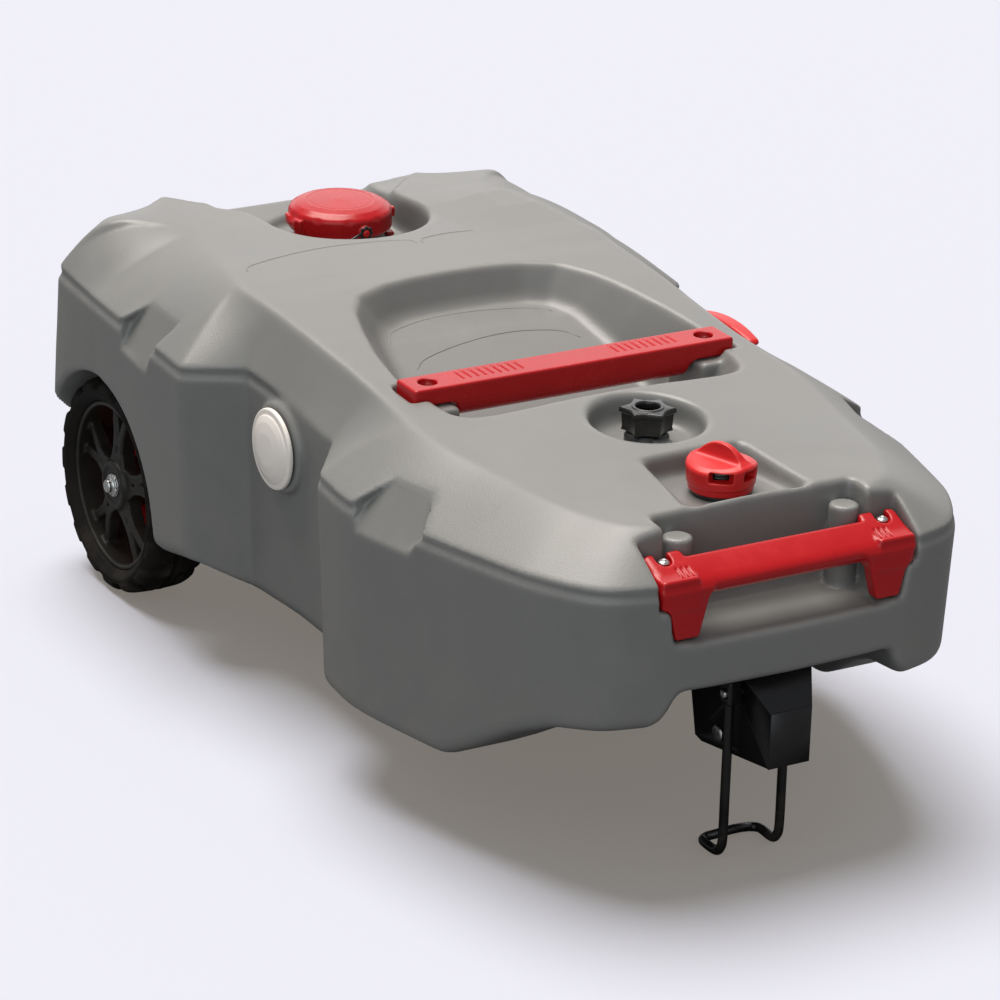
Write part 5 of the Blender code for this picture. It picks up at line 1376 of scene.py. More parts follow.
FINISHES = {
    Slot.TANK: Finish(
        (0.178, 0.181, 0.176, 1), (0.2, 0.201, 0.193, 1), 0.4, 0.07, 620.0, 0.0001, 5.0,
        rubbed=(0.34, 0.34, 0.325, 1), rub=0.35, dust_and_bounce=0.3, dust_and_bounce_top=0.26,
    ),
    Slot.RED: Finish(
        (0.42, 0.004, 0.007, 1), (0.47, 0.007, 0.01, 1), 0.26, 0.06, 1400.0, 0.00004, 14.0,
        rubbed=(0.62, 0.08, 0.08, 1), rub=0.2, gloss=0.32,
    ),
    Slot.BRIGHT_RED: Finish(
        (0.56, 0.006, 0.008, 1), (0.62, 0.01, 0.012, 1), 0.36, 0.06, 1400.0, 0.00003, 16.0,
        rubbed=(0.8, 0.14, 0.12, 1), rub=0.2, gloss=0.4,
    ),
    Slot.BLACK: Finish(
        (0.012, 0.012, 0.012, 1), (0.018, 0.018, 0.017, 1), 0.3, 0.08, 1300.0, 0.00004, 20.0,
        rubbed=(0.09, 0.09, 0.09, 1), rub=0.4,
    ),
    Slot.COLLAR: Finish(
        (0.045, 0.052, 0.048, 1), (0.058, 0.064, 0.06, 1), 0.42, 0.08, 1200.0, 0.00004, 20.0,
        rubbed=(0.14, 0.15, 0.14, 1), rub=0.4,
    ),
    Slot.WHITE: Finish(
        (0.86, 0.81, 0.75, 1), (0.9, 0.85, 0.8, 1), 0.38, 0.08, 1200.0, 0.00003, 22.0,
        rubbed=(0.85, 0.85, 0.83, 1), rub=0.2, dust_and_bounce=0.2, dust_and_bounce_top=0.3,
    ),
    Slot.TYRE: Finish(
        (0.008, 0.007, 0.006, 1), (0.014, 0.012, 0.01, 1), 0.68, 0.12, 700.0, 0.00014, 30.0,
        rubbed=(0.05, 0.045, 0.04, 1), rub=0.3, dust_and_bounce=0.1, dust_and_bounce_top=0.1, gloss=0.12,
    ),
    Slot.RIM: Finish(
        (0.012, 0.011, 0.009, 1), (0.018, 0.016, 0.013, 1), 0.42, 0.1, 900.0, 0.00008, 24.0,
        rubbed=(0.08, 0.075, 0.07, 1), rub=0.3, dust_and_bounce=0.06, dust_and_bounce_top=0.14, gloss=0.25,
    ),
    Slot.ZINC: Finish(
        (0.62, 0.62, 0.6, 1), (0.5, 0.5, 0.49, 1), 0.28, 0.14, 900.0, 0.00003, 60.0, 1.0,
        rubbed=(0.8, 0.8, 0.78, 1), rub=0.3, drawn=True,
    ),
    Slot.STEEL: Finish(
        (0.005, 0.005, 0.005, 1), (0.008, 0.007, 0.007, 1), 0.34, 0.12, 1600.0, 0.00006, 30.0,
        rubbed=(0.1, 0.09, 0.08, 1), rub=0.3, dust_and_bounce=0.12, dust_and_bounce_top=0.1, gloss=0.4,
    ),
    Slot.SEAL: Finish(
        (0.018, 0.018, 0.018, 1), (0.026, 0.026, 0.025, 1), 0.62, 0.1, 1000.0, 0.00006, 30.0, rub=0.0,
    ),
}


def dress(piece: bpy.types.Object, slot: Slot) -> None:
    """Gives a piece the material of a slot's finish."""
    material = FINISHES[slot].material(f"finish_{slot.value}")
    if piece.data.materials:
        piece.material_slots[0].material = material
    else:
        piece.data.materials.append(material)


def fit(piece: bpy.types.Object, body: str, slot: Slot, *nodes: str) -> bpy.types.Object:
    """Fixes a piece to a body, dresses it and puts it in the place of the nodes that it stands for.

    Args:
        piece: The piece.
        body: The body that it moves with.
        slot: The finish that it takes.
        nodes: The nodes that it replaces.

    Returns:
        The piece.
    """
    dress(piece, slot)
    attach(piece, body)
    if nodes:
        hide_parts(*nodes)
    log.info("%s on %s: %d faces", piece.name, body, len(piece.data.polygons))
    return piece


def mirrored(field: Field) -> Field:
    """A field with its +Y half repeated on the other side."""

    def both(x: Array, y: Array, z: Array) -> Array:
        """The field at each place's twin on the +Y side."""
        return field(x, np.abs(y), z)

    return both


@dataclass
class MiddleHandle:
    """The lift bar across the hand pocket, with its two screws.

    Args:
        x: Its middle along the body.
        width: Its width along the body.
        half: Half its length.
        top: Height of its top face.
        depth: Depth of the grip.
        seat_depth: Depth of its ends.
        grip_half: Half the length of the grip.
        screw_y: How far out the screws stand.
        slits: How many slits each side of the grip has.
        step: Spacing of the surface's points.
    """

    x: float = 0.08
    width: float = 0.034
    half: float = 0.157
    top: float = 0.3275
    depth: float = 0.033
    seat_depth: float = 0.0158
    grip_half: float = 0.114
    screw_y: float = 0.136
    slits: int = 9
    step: float = 0.00095

    def field(self, x: Array, y: Array, z: Array) -> Array:
        """The bar: flat on top, rounded below, its ends cut up to their seats and chamfered."""
        side = np.abs(x - self.x) - self.width / 2
        bar = meet(meet(side, z - self.top, 0.0022), self.top - self.depth - z, 0.022)
        ends = join(y - self.grip_half, self.top - self.seat_depth - z, 0.01)
        bar = meet(bar, np.minimum(ends, 0.01), 0.003)
        return meet(bar, y - self.half, 0.003)

    def build(self) -> None:
        """Makes the bar and its screws."""
        edge = 0.002
        low = (self.x - self.width / 2 - edge, -self.half - edge, self.top - self.depth - edge)
        high = (self.x + self.width / 2 + edge, self.half + edge, self.top + edge)
        lattice = Lattice(low, high, self.step).fill(mirrored(self.field))
        for sign, i in product((1, -1), range(self.slits)):
            y = sign * (0.047 + 0.0072 * i)
            start = (self.x - 0.0115, y - 0.0009, self.top - 0.0011)
            end = (self.x + 0.0065, y + 0.0009, 1.0)
            near = (start[0] - 0.004, y - 0.004, self.top - 0.005), (end[0] + 0.004, y + 0.004, high[2])
            lattice.cut(box_field(start, end, 0.0008), *near, 0.0007)
        for sign in (1, -1):
            place = (self.x, sign * self.screw_y, self.top - 0.009 + 0.02)
            near = (self.x - 0.013, place[1] - 0.013, low[2]), (self.x + 0.013, place[1] + 0.013, high[2])
            lattice.cut(disc_field(Axis.Z, place, 0.0082, 0.02, 0.0015), *near, 0.0015)
        fit(moulded("lift_bar", lattice, 0.45), "tank", Slot.RED, "mid_handle")
        for side, sign in SIDES:
            low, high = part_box(f"mid_handle_screw_{side}")
            top = (self.x, sign * self.screw_y, high[2])
            made = pan_head(f"lift_bar_screw_{side}", top, high[2] - low[2], 0.0062)
            fit(made, "tank", Slot.ZINC, f"mid_handle_screw_{side}")


def pan_head(name: str, top: Point, length: float, radius: float) -> bpy.types.Object:
    """A screw with a domed head that has a round socket with a raised rim, and its shank.

    Args:
        name: The piece's name.
        top: The middle of its top.
        length: Its whole length.
        radius: Radius of its head.

    Returns:
        The object.
    """
    head = radius * 0.55
    profile = [(0.0, -head * 0.55), (radius * 0.38, -head * 0.55), (radius * 0.44, -head * 0.08)]
    profile += [(radius * 0.62, 0.0), (radius * 0.98, -head * 0.45), (radius, -head)]
    profile += [(radius * 0.42, -head), (radius * 0.4, -length), (0.0, -length)]

    def socket(turn: Array, reach: Array, height: Array) -> Array:
        """Draws the socket's wall in and out six times round."""
        inside = (reach > 1e-6) & (reach < radius * 0.47) & (height > -head)
        return np.where(inside, radius * 0.05 * np.cos(6 * turn), 0.0)

    return turned(name, rounded(profile, radius * 0.12), Axis.Z, top, 48, socket)


@dataclass
class NoseHandle:
    """The tow bar at the nose: two pads with legs and the bar between them, and its two screws.

    Args:
        half: Half its length.
        section: The bar's outline, x and z; its fifth and sixth corners bound the sloping top.
        pad_y: Inner and outer edge of each pad.
        cut_y: How far out the notch behind each end of the bar starts.
        cut_x: Where the notch ends, along the body.
        screw: Where the far screw stands, and the height of its seat.
        step: Spacing of the surface's points.
    """

    half: float = 0.12
    section: tuple = (
        (0.409, 0.2585), (0.4225, 0.2535), (0.4355, 0.2635), (0.4352, 0.2712), (0.432, 0.2738),
        (0.398, 0.288), (0.398, 0.2765),
    )
    pad_y: tuple = (0.0848, 0.1192)
    cut_y: float = 0.0835
    cut_x: float = 0.4065
    screw: Point = (0.4075, 0.1035, 0.2795)
    step: float = 0.00105

    def bar(self, x: Array, y: Array, z: Array) -> Array:
        """The bar's section, as the smooth maximum of the distances past its sides, between its two ends."""
        corners = np.array(self.section)
        middle = corners.mean(axis=0)
        total = y - self.half
        for start, end in zip(corners, np.roll(corners, -1, axis=0)):
            normal = np.array([end[1] - start[1], start[0] - end[0]])
            normal /= np.linalg.norm(normal)
            if normal @ (start - middle) < 0:
                normal = -normal
            total = meet(total, (x - start[0]) * normal[0] + (z - start[1]) * normal[1], 0.0062)
        inner = meet(y - self.cut_y, x - self.cut_x, 0.003)
        return meet(total, -inner, 0.004)

    def field(self, x: Array, y: Array, z: Array) -> Array:
        """The bar with its pads and legs."""
        inner, outer = self.pad_y
        pad = box_field((0.3985, inner, 0.2515), (0.4342, outer, 0.276), 0.003)(x, y, z)
        leg = leg_field(1, (0.4215, 0.435), (0.084, 0.106, 0.2245), (0.074, 0.1155, 0.264), 0.0025)
        return join(join(self.bar(x, y, z), pad, 0.003), leg(x, y, z), 0.006)

    def build(self) -> None:
        """Makes the handle and its screws."""
        lattice = Lattice((0.3955, -0.1225, 0.222), (0.438, 0.1225, 0.2905), self.step)
        lattice.fill(mirrored(self.field))
        (front_x, front_z), (rear_x, rear_z) = self.section[4], self.section[5]
        fall = (front_z - rear_z) / (front_x - rear_x)
        for sign, i in product((1, -1), range(3)):
            y = sign * (0.0885 + 0.005 * i)

            def slit(x: Array, across: Array, z: Array, y: float = y) -> Array:
                """A short groove that follows the sloping top."""
                sides = meet(np.abs(across - y) - 0.0009, np.abs(x - 0.4235) - 0.0062, 0.001)
                return meet(sides, rear_z + (x - rear_x) * fall - 0.0016 - z, 0.0008)

            lattice.cut(slit, (0.41, y - 0.004, 0.262), (0.4375, y + 0.004, 0.2905), 0.0008)
        for side, sign in SIDES:
            x, y, z = self.screw[0], sign * self.screw[1], self.screw[2]
            near = (0.3955, y - 0.012, 0.266), (0.42, y + 0.012, 0.2905)
            lattice.cut(disc_field(Axis.Z, (x, y, z + 0.02), 0.0066, 0.02, 0.001), *near, 0.0012)
            low = (x - 0.03, y - 0.0066, z)
            lattice.cut(box_field(low, (x, y + 0.0066, z + 0.04), 0.001), *near, 0.0012)
            below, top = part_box(f"front_handle_screw_{side}")
            made = pan_head(f"tow_handle_screw_{side}", (x, y, top[2]), top[2] - below[2], 0.005)
            fit(made, "tank", Slot.ZINC, f"front_handle_screw_{side}")
        fit(moulded("tow_handle", lattice, 0.5), "tank", Slot.RED, "front_handle")


@dataclass
class Inlet:
    """The inlet in the top at the rear: collar, studs, hooked cap, knob and tether.

    Args:
        x: Its middle along the body.
        bore: Radius of the collar's bore.
        collar: Radius of the collar's wall.
        top: Height of the collar's lip.
        cap: Radius of the cap.
        cap_top: Height of the cap's middle.
        skirt: Height of the cap's lower edge.
        hooks: The turn of each hook about the middle, in degrees.
        stud_z: Height of the studs.
        knob_z: Height of the tether's knob.
        scallops: How many scallops the cap's rim has.
        scallop_out: How far out the middles of the balls lie that cut them.
        scallop: Radius of those balls.
        step: Spacing of the surface's points.
    """

    x: float = -0.334
    bore: float = 0.038
    collar: float = 0.0425
    top: float = 0.33
    cap: float = 0.048
    cap_top: float = 0.347
    skirt: float = 0.321
    hooks: tuple = (90.0, 270.0)
    stud_z: float = 0.316
    knob_z: float = 0.3275
    scallops: int = 10
    scallop_out: float = 0.0618
    scallop: float = 0.016
    step: float = 0.00105

    def hook(self, angle: float) -> Field:
        """One hook: a leg beside its stud, a foot under the stud and a boss on the cap's side.

        Each is a box in the distance from the axis, the length of arc from the stud and the height.

        Args:
            angle: The hook's turn about the inlet's middle, in degrees.

        Returns:
            The field.
        """
        reach = 0.05
        leg = box_field((0.0484, 0.0062, 0.3066), (0.0519, 0.0148, 0.3345), 0.0014)
        foot = box_field((0.0438, -0.0135, 0.3066), (0.0519, 0.0148, 0.3108), 0.0014)
        boss = box_field((0.044, -0.015, 0.326), (0.0519, 0.015, 0.3352), 0.0018)
        turn = math.radians(angle)

        def field(x: Array, y: Array, z: Array) -> Array:
            """The hook's field."""
            along, across, out = turned_place(x - self.x, y, turn)
            arc = np.arctan2(across, along) * reach
            whole = join(leg(out, arc, z), foot(out, arc, z), 0.002)
            return join(whole, boss(out, arc, z), 0.002)

        return field

    def cap_field(self, x: Array, y: Array, z: Array) -> Array:
        """The cap: a low dome with a shallow round recess, over a skirt that is open below."""
        out = np.sqrt((x - self.x) ** 2 + y * y)
        dome = np.interp(out, (0.0, 0.028, 0.04, self.cap), (self.cap_top, 0.3462, 0.3434, 0.3385))
        dome = dome - 0.0008 * np.clip((0.0315 - out) / 0.0016, 0, 1)
        shell = meet(out - self.cap, (z - dome) * 0.88, 0.003)
        shell = meet(shell, self.skirt - z, 0.0016)
        inside = meet(out - self.collar - 0.0018, z - 0.3329, 0.001)
        return meet(shell, -inside, 0.001)

    def build(self) -> None:
        """Makes the whole inlet."""
        reach = self.cap + 0.0058
        low, high = (self.x - reach, -reach, 0.3045), (self.x + reach, reach, 0.349)
        lattice = Lattice(low, high, self.step).fill(self.cap_field)
        for angle in self.hooks:
            lattice.add(self.hook(angle), low, high, 0.0018)
        for i in range(self.scallops):
            turn = math.radians(360 / self.scallops * (i + 0.5))
            centre = (self.x + self.scallop_out * math.cos(turn), self.scallop_out * math.sin(turn), 0.344)

            def scallop(x: Array, y: Array, z: Array, c: Point = centre) -> Array:
                """A ball that takes a shallow crescent out of the rim."""
                return np.sqrt((x - c[0]) ** 2 + (y - c[1]) ** 2 + (z - c[2]) ** 2) - self.scallop

            near = tuple(v - 0.018 for v in centre), tuple(v + 0.018 for v in centre)
            lattice.cut(scallop, *near, 0.0016)
        knob_boss = disc_field(Axis.X, (self.x + self.cap - 0.0005, 0.0, self.knob_z), 0.0062, 0.0028, 0.001)
        lattice.add(knob_boss, (self.x + 0.04, -0.01, 0.318), (high[0], 0.01, 0.338), 0.0015)
        fit(moulded("inlet_lid", lattice, 0.55), "inlet_cap", Slot.RED, "inlet_cap")
        self.build_collar()
        self.build_tether()

    def build_collar(self) -> None:
        """Makes the collar, a turned tube with a flange and two shallow ribs, and the studs."""
        wall = self.collar
        profile = [
            (self.bore + 0.001, self.top), (wall, self.top), (wall, 0.3272), (wall - 0.001, 0.3262),
            (wall - 0.001, 0.311), (wall, 0.3098), (wall, 0.306), (0.05, 0.3056), (0.05, 0.3023),
            (wall, 0.3023), (wall, 0.2885), (self.bore, 0.2885), (self.bore, self.top - 0.001),
        ]
        made = turned("inlet_neck", rounded(profile, 0.0007), Axis.Z, (self.x, 0.0, 0.0), 128)
        fit(made, "tank", Slot.COLLAR, "inlet_collar")
        for side, sign in SIDES:
            stud = rounded([(0.0, 0.0478), (0.003, 0.0478), (0.003, 0.0424), (0.0, 0.0424)], 0.0009)
            made = turned(f"neck_stud_{side}", handed(stud, sign), Axis.Y, (self.x, 0.0, self.stud_z), 32)
            fit(made, "tank", Slot.ZINC, f"inlet_stud_{side}")

    def build_tether(self) -> None:
        """Makes the knob, and the tether: a toothed ring round the knob and its cord down to the hook."""
        face = self.cap + 0.0023
        knob = [(0.0, 0.0032), (0.0022, 0.0032), (0.0035, 0.002), (0.0035, 0.0004), (0.0, 0.0004)]
        made = turned("lid_knob", rounded(knob, 0.0006), Axis.X, (self.x + face, 0.0, self.knob_z), 40)
        fit(made, "inlet_cap", Slot.BRIGHT_RED, "inlet_knob")

        def teeth(turn: Array, radius: Array, height: Array) -> Array:
            """Eight rounded teeth round the ring's edge."""
            return np.where(radius > 0.0055, 0.0007 * np.cos(8 * turn), 0.0)

        profile = [(0.004, 0.0017), (0.006, 0.0017), (0.0066, 0.0012), (0.0066, 0.0005), (0.004, 0.0005)]
        ring = turned("tether_ring", np.array(profile), Axis.X, (self.x + face, 0.0, self.knob_z), 64, teeth)
        fit(ring, "inlet_cap", Slot.BLACK)
        angle = math.radians(-48)
        route = [
            (self.x + face + 0.0011, -0.0068, self.knob_z),
            (self.x + face + 0.003, -0.0135, self.knob_z - 0.002),
            (self.x + face + 0.001, -0.021, self.knob_z - 0.0062),
            (self.x + face - 0.007, -0.0305, 0.314),
            (self.x + 0.0482 * math.cos(angle), 0.0482 * math.sin(angle), 0.3074),
        ]
        cord = swept("tether_cord", curve_through(route), 0.0012, 12)
        fit(cord, "inlet_cap", Slot.BLACK, "inlet_tether")


@dataclass
class RinsePort:
    """The rinse port in its bowl: a body with a flange and a lobed swivel nut.

    Args:
        x: Its middle along the body.
        floor: Height of the bowl's floor.
        bore: Radius of its bore.
        nut: Radius of the nut, before its lobes.
        nut_low: Height of the nut's underside.
        nut_top: Height of the nut's top.
    """

    x: float = 0.211
    floor: float = 0.2973
    bore: float = 0.0115
    nut: float = 0.0215
    nut_low: float = 0.3075
    nut_top: float = 0.329

    def build(self) -> None:
        """Makes the body, its lock block and the nut."""
        low, top, floor = self.nut_low, self.nut_top, self.floor

        def lobes(turn: Array, radius: Array, height: Array) -> Array:
            """Six lobes: a sharp rise to each corner and a hollow between them."""
            wave = 0.0024 - 0.0066 * np.abs(np.sin(3 * turn)) ** 0.75
            return np.where(radius > 0.015, wave * np.clip((radius - 0.015) / 0.005, 0, 1), 0.0)

        profile = [
            (0.01, top - 0.0022), (0.0106, top - 0.0006), (0.0112, top), (0.0132, top),
            (0.0138, top - 0.001), (0.0205, top - 0.0014), (self.nut, top - 0.0024),
            (self.nut, top - 0.0056), (0.0196, top - 0.0066), (0.019, low + 0.003), (0.0196, low),
            (0.014, low), (0.014, low + 0.014), (0.01, low + 0.015),
        ]
        made = turned("rinse_nut", rounded(profile, 0.0006, 3), Axis.Z, (self.x, 0.0, 0.0), 144, lobes)
        fit(made, "rinse_nut", Slot.BLACK, "rinse_swivel_nut")
        profile = [
            (self.bore, 0.311), (0.0128, 0.3115), (0.0128, 0.3068), (0.0165, 0.3062), (0.019, 0.303),
            (0.019, floor), (0.0145, floor), (0.0145, 0.285), (self.bore, 0.285),
        ]
        made = turned("rinse_body_shell", rounded(profile, 0.0006, 3), Axis.Z, (self.x, 0.0, 0.0), 96)
        fit(made, "tank", Slot.BLACK, "rinse_body")
        lock = Lattice((self.x + 0.017, -0.011, floor - 0.002), (self.x + 0.033, 0.011, 0.309), 0.0007)
        lock.fill(box_field((self.x + 0.0196, -0.008, floor), (self.x + 0.03, 0.008, 0.3063), 0.0016))
        notch = box_field((self.x + 0.0285, -0.0022, 0.3025), (self.x + 0.04, 0.0022, 0.32), 0.0006)
        lock.cut(notch, lock.low, lock.high, 0.0006)
        fit(moulded("rinse_lock_block", lock), "tank", Slot.COLLAR)


@dataclass
class Vent:
    """The vent: a threaded neck and a cap with a wing and side slots.

    Args:
        x: Its middle along the body.
        floor: Height of the recess's floor.
        bore: Radius of the neck's bore.
        pipe: Radius of the neck.
        neck_top: Height of the neck's rim.
        cap: The cap's largest radius.
        turn: The wing's turn from the long direction, in degrees.
        step: Spacing of the surface's points.
    """

    x: float = 0.326
    floor: float = 0.2948
    bore: float = 0.015
    pipe: float = 0.018
    neck_top: float = 0.3165
    cap: float = 0.0296
    turn: float = 20.0
    step: float = 0.0009

    def cap_field(self, x: Array, y: Array, z: Array) -> Array:
        """The cap: a tapered side, a roof that falls away on both sides of the wing, and the wing's arc."""
        along, across, out = turned_place(x - self.x, y, math.radians(self.turn))
        edge = np.interp(z, (0.2981, 0.3035, 0.3045, 0.32), (0.0268, 0.0272, 0.0283, 0.0295))
        roof = 0.3246 - np.maximum(np.abs(across) - 0.0035, 0) * 0.16 - np.maximum(out - 0.0235, 0) * 0.35
        shell = meet(out - edge, (z - roof) * 0.96, 0.0026)
        shell = meet(shell, 0.2981 - z, 0.001)
        inside = meet(out - self.pipe - 0.0012, z - 0.319, 0.001)
        shell = meet(shell, -inside, 0.0008)
        arc = np.sqrt(along**2 + (z - 0.311) ** 2) - 0.0259
        thick = 0.003 + np.clip(0.3325 - z, 0, 1) * 0.22
        wing = meet(meet(arc, np.abs(across) - thick, 0.0016), 0.3215 - z, 0.001)
        wing = meet(wing, np.abs(along) - 0.0248, 0.0016)
        return join(shell, wing, 0.004)

    def slot(self, middle: float, spread: float) -> Field:
        """A window in the side: a box in the distance from the axis, the length of arc and the height.

        Args:
            middle: Its turn from the wing, in degrees.
            spread: Half its length of arc.

        Returns:
            The field.
        """
        turn = math.radians(self.turn + middle)
        window = box_field((0.0196, -spread, 0.3112), (0.05, spread, 0.3196), 0.0012)

        def field(x: Array, y: Array, z: Array) -> Array:
            """The window's field."""
            along, across, out = turned_place(x - self.x, y, turn)
            return window(out, np.arctan2(across, along) * self.cap, z)

        return field

    def build(self) -> None:
        """Makes the cap and the neck."""
        reach = self.cap + 0.0018
        low, high = (self.x - reach, -reach, 0.2965), (self.x + reach, reach, 0.3385)
        lattice = Lattice(low, high, self.step).fill(self.cap_field)
        for middle, spread in ((-53.0, 0.0108), (5.0, 0.009), (127.0, 0.0108), (185.0, 0.009)):
            lattice.cut(self.slot(middle, spread), low, high, 0.0008)
        fit(moulded("vent_lid", lattice, 0.5), "vent_cap", Slot.BRIGHT_RED, "vent_cap")
        pipe, top = self.pipe, self.neck_top
        threads = [(pipe - 0.0011 * (i % 2), top - 0.0022 - 0.0013 * i) for i in range(8)]
        profile = [(self.bore, top - 0.0006), (self.bore + 0.0008, top), (pipe - 0.0008, top), *threads]
        profile += [(pipe, 0.301), (pipe, 0.2978), (0.0255, 0.2976), (0.0255, self.floor)]
        profile += [(pipe, self.floor), (pipe, 0.283), (self.bore, 0.283)]
        made = turned("vent_pipe", rounded(profile, 0.0004, 2), Axis.Z, (self.x, 0.0, 0.0), 96)
        fit(made, "tank", Slot.BLACK, "vent_neck")


@dataclass
class SidePort:
    """The white cover on the near side: a low dome with a rim, on a short plug.

    Args:
        x: Its middle along the body.
        z: Its middle's height.
        back: The y of the rim's rear face.
        radius: Radius of the rim.
    """

    x: float = -0.044
    z: float = 0.237
    back: float = -0.2151
    radius: float = 0.0358

    def build(self) -> None:
        """Makes the cover."""
        back, rim = self.back, self.radius
        profile = [
            (0.0, -0.2042), (0.0225, -0.2042), (0.023, -0.206), (0.023, back), (rim, back),
            (rim, back - 0.003), (rim - 0.0012, back - 0.004), (0.0305, back - 0.004),
            (0.0296, back - 0.0052), (0.024, back - 0.0072), (0.015, back - 0.0087), (0.0, back - 0.0094),
        ]
        made = turned("side_cover", rounded(profile, 0.001), Axis.Y, (self.x, 0.0, self.z), 112)
        fit(made, "tank", Slot.WHITE, "side_port_cover")


@dataclass
class GateValve:
    """The slide valve and outlet on the far side, with its pull handle.

    Args:
        x: Its middle along the body.
        z: Height of the outlet's middle.
        y: The blade's plane.
        bore: Radius of the waterway.
        half: Half the width of its plates.
        thick: Thickness of the block of points that both halves fill.
        top: Height of its top edge.
        bolt_x: How far to each side of the middle the bolts stand.
        bolt_z: Heights of the lower and upper bolts.
        step: Spacing of the surface's points.
    """

    x: float = -0.007
    z: float = 0.135
    y: float = 0.2185
    bore: float = 0.036
    half: float = 0.05
    thick: float = 0.02
    top: float = 0.262
    bolt_x: float = 0.044
    bolt_z: tuple = (0.096, 0.181)
    step: float = 0.0013

    def half_field(self, side: int) -> Field:
        """One half of the valve: a plate about the waterway, with a ribbed bonnet for the raised blade.

        Args:
            side: 1 for the outer half, -1 for the inner one.

        Returns:
            The field.
        """

        def field(x: Array, y: Array, z: Array) -> Array:
            """The half's field."""
            away = (y - self.y) * side
            across = x - self.x
            lower = meet(np.abs(across) - self.half, self.z - self.half + 0.003 - z, 0.012)
            outline = meet(lower, z - self.top, 0.01)
            bonnet = meet(np.abs(across) - 0.0465, 0.188 - z, 0.002)
            plate = meet(outline, away - 0.0072, 0.002)
            ribs = np.abs(np.mod(across + 0.009, 0.018) - 0.009) - 0.0011
            rib = meet(bonnet, outline + 0.006, 0.003)
            rib = meet(meet(ribs, away - 0.0096, 0.001), rib, 0.001)
            out = np.sqrt(across**2 + (z - self.z) ** 2)
            collar = meet(out - self.bore - 0.0095, away - 0.0098, 0.002)
            rim = meet(meet(-outline - 0.0042, outline, 0.001), away - 0.0096, 0.0012)
            whole = join(join(plate, rib, 0.0015), join(collar, rim, 0.002), 0.0015)
            whole = meet(whole, 0.0002 - away, 0.0006)
            blade = meet(np.abs(across) - 0.041, np.abs(z - 0.1755) - 0.0835, 0.002)
            blade = meet(blade, away - 0.0019, 0.0006)
            groove = meet(out - self.bore - 0.0035, away - 0.0043, 0.0006)
            stem = meet(np.sqrt(across**2 + away**2) - 0.0052, 0.23 - z, 0.0006)
            for hollow in (blade, groove, stem, meet(out - self.bore, away - 1.0, 0.001)):
                whole = meet(whole, -hollow, 0.0008)
            for sign, height in product((1, -1), self.bolt_z):
                hole = np.sqrt((across - sign * self.bolt_x) ** 2 + (z - height) ** 2) - 0.0028
                whole = meet(whole, -hole, 0.0008)
            return whole

        return field

    def build(self) -> None:
        """Makes the valve, its handle and the outlet."""
        for tag, side in (("inner", -1), ("outer", 1)):
            near, far = sorted((self.y, self.y + side * self.thick / 2))
            low = (self.x - self.half - 0.002, near - 0.002, self.z - self.half)
            high = (self.x + self.half + 0.002, far + 0.002, self.top + 0.002)
            lattice = Lattice(low, high, self.step).fill(self.half_field(side))
            fit(moulded(f"gate_{tag}", lattice, 0.5), "tank", Slot.BLACK, f"valve_body_{tag}")
        self.build_handle()
        self.build_pipes()
        self.build_outlet_cap()
        for i, (sign, level) in enumerate(product((-1, 1), (0, 1))):
            place = (self.x + sign * self.bolt_x, self.y, self.bolt_z[level])
            node = 1 + (sign > 0) + 2 * level
            fit(self.through_bolt(f"gate_bolt_{i + 1}", place), "tank", Slot.ZINC, f"valve_bolt_{node}")

    @staticmethod
    def through_bolt(name: str, place: Point) -> bpy.types.Object:
        """A bolt through both halves, with a hexagon head and nut."""
        profile = [
            (0.0, 0.0132), (0.0024, 0.0132), (0.0035, 0.0128), (0.0035, 0.0103), (0.0024, 0.0103),
            (0.0024, -0.0103), (0.0035, -0.0103), (0.0035, -0.0104), (0.0, -0.0106),
        ]
        return turned(name, np.array(profile), Axis.Y, place, 48, hexagon(0.0035))

    def build_handle(self) -> None:
        """Makes the pull handle, an arched cross bar on a hub, and the stem."""

        def field(x: Array, y: Array, z: Array) -> Array:
            """The cross bar follows an arc that falls towards its ends, where it is rounded and thinner."""
            across, away = x - self.x, y - self.y
            middle = 0.2962 - 2.2 * across**2
            depth = 0.0044 - 0.8 * across**2
            bar = meet(np.abs(z - middle) - depth, np.abs(away) - 0.0078 + 1.0 * across**2, 0.0042)
            bar = meet(bar, np.abs(across) - 0.0458, 0.006)
            hub = meet(np.abs(across) - 0.0105 - (0.2925 - z) * 0.15, np.abs(away) - 0.0068, 0.003)
            hub = meet(hub, np.abs(z - 0.2895) - 0.0055, 0.002)
            whole = join(bar, hub, 0.004)
            stem = meet(np.sqrt(across**2 + away**2) - 0.0044, z - 0.284, 0.0006)
            return meet(whole, -stem, 0.0006)

        low, high = (self.x - 0.048, self.y - 0.01, 0.2825), (self.x + 0.048, self.y + 0.01, 0.3025)
        handle = moulded("pull_handle", Lattice(low, high, 0.0008).fill(field), 0.6)
        fit(handle, "valve", Slot.BRIGHT_RED, "valve_t_handle")
        profile = rounded([(0.0, 0.2837), (0.0042, 0.2837), (0.0042, 0.1793), (0.0, 0.1793)], 0.0008)
        stem = turned("gate_stem", profile, Axis.Z, (self.x, self.y, 0.0), 40)
        fit(stem, "valve", Slot.ZINC, "valve_stem")

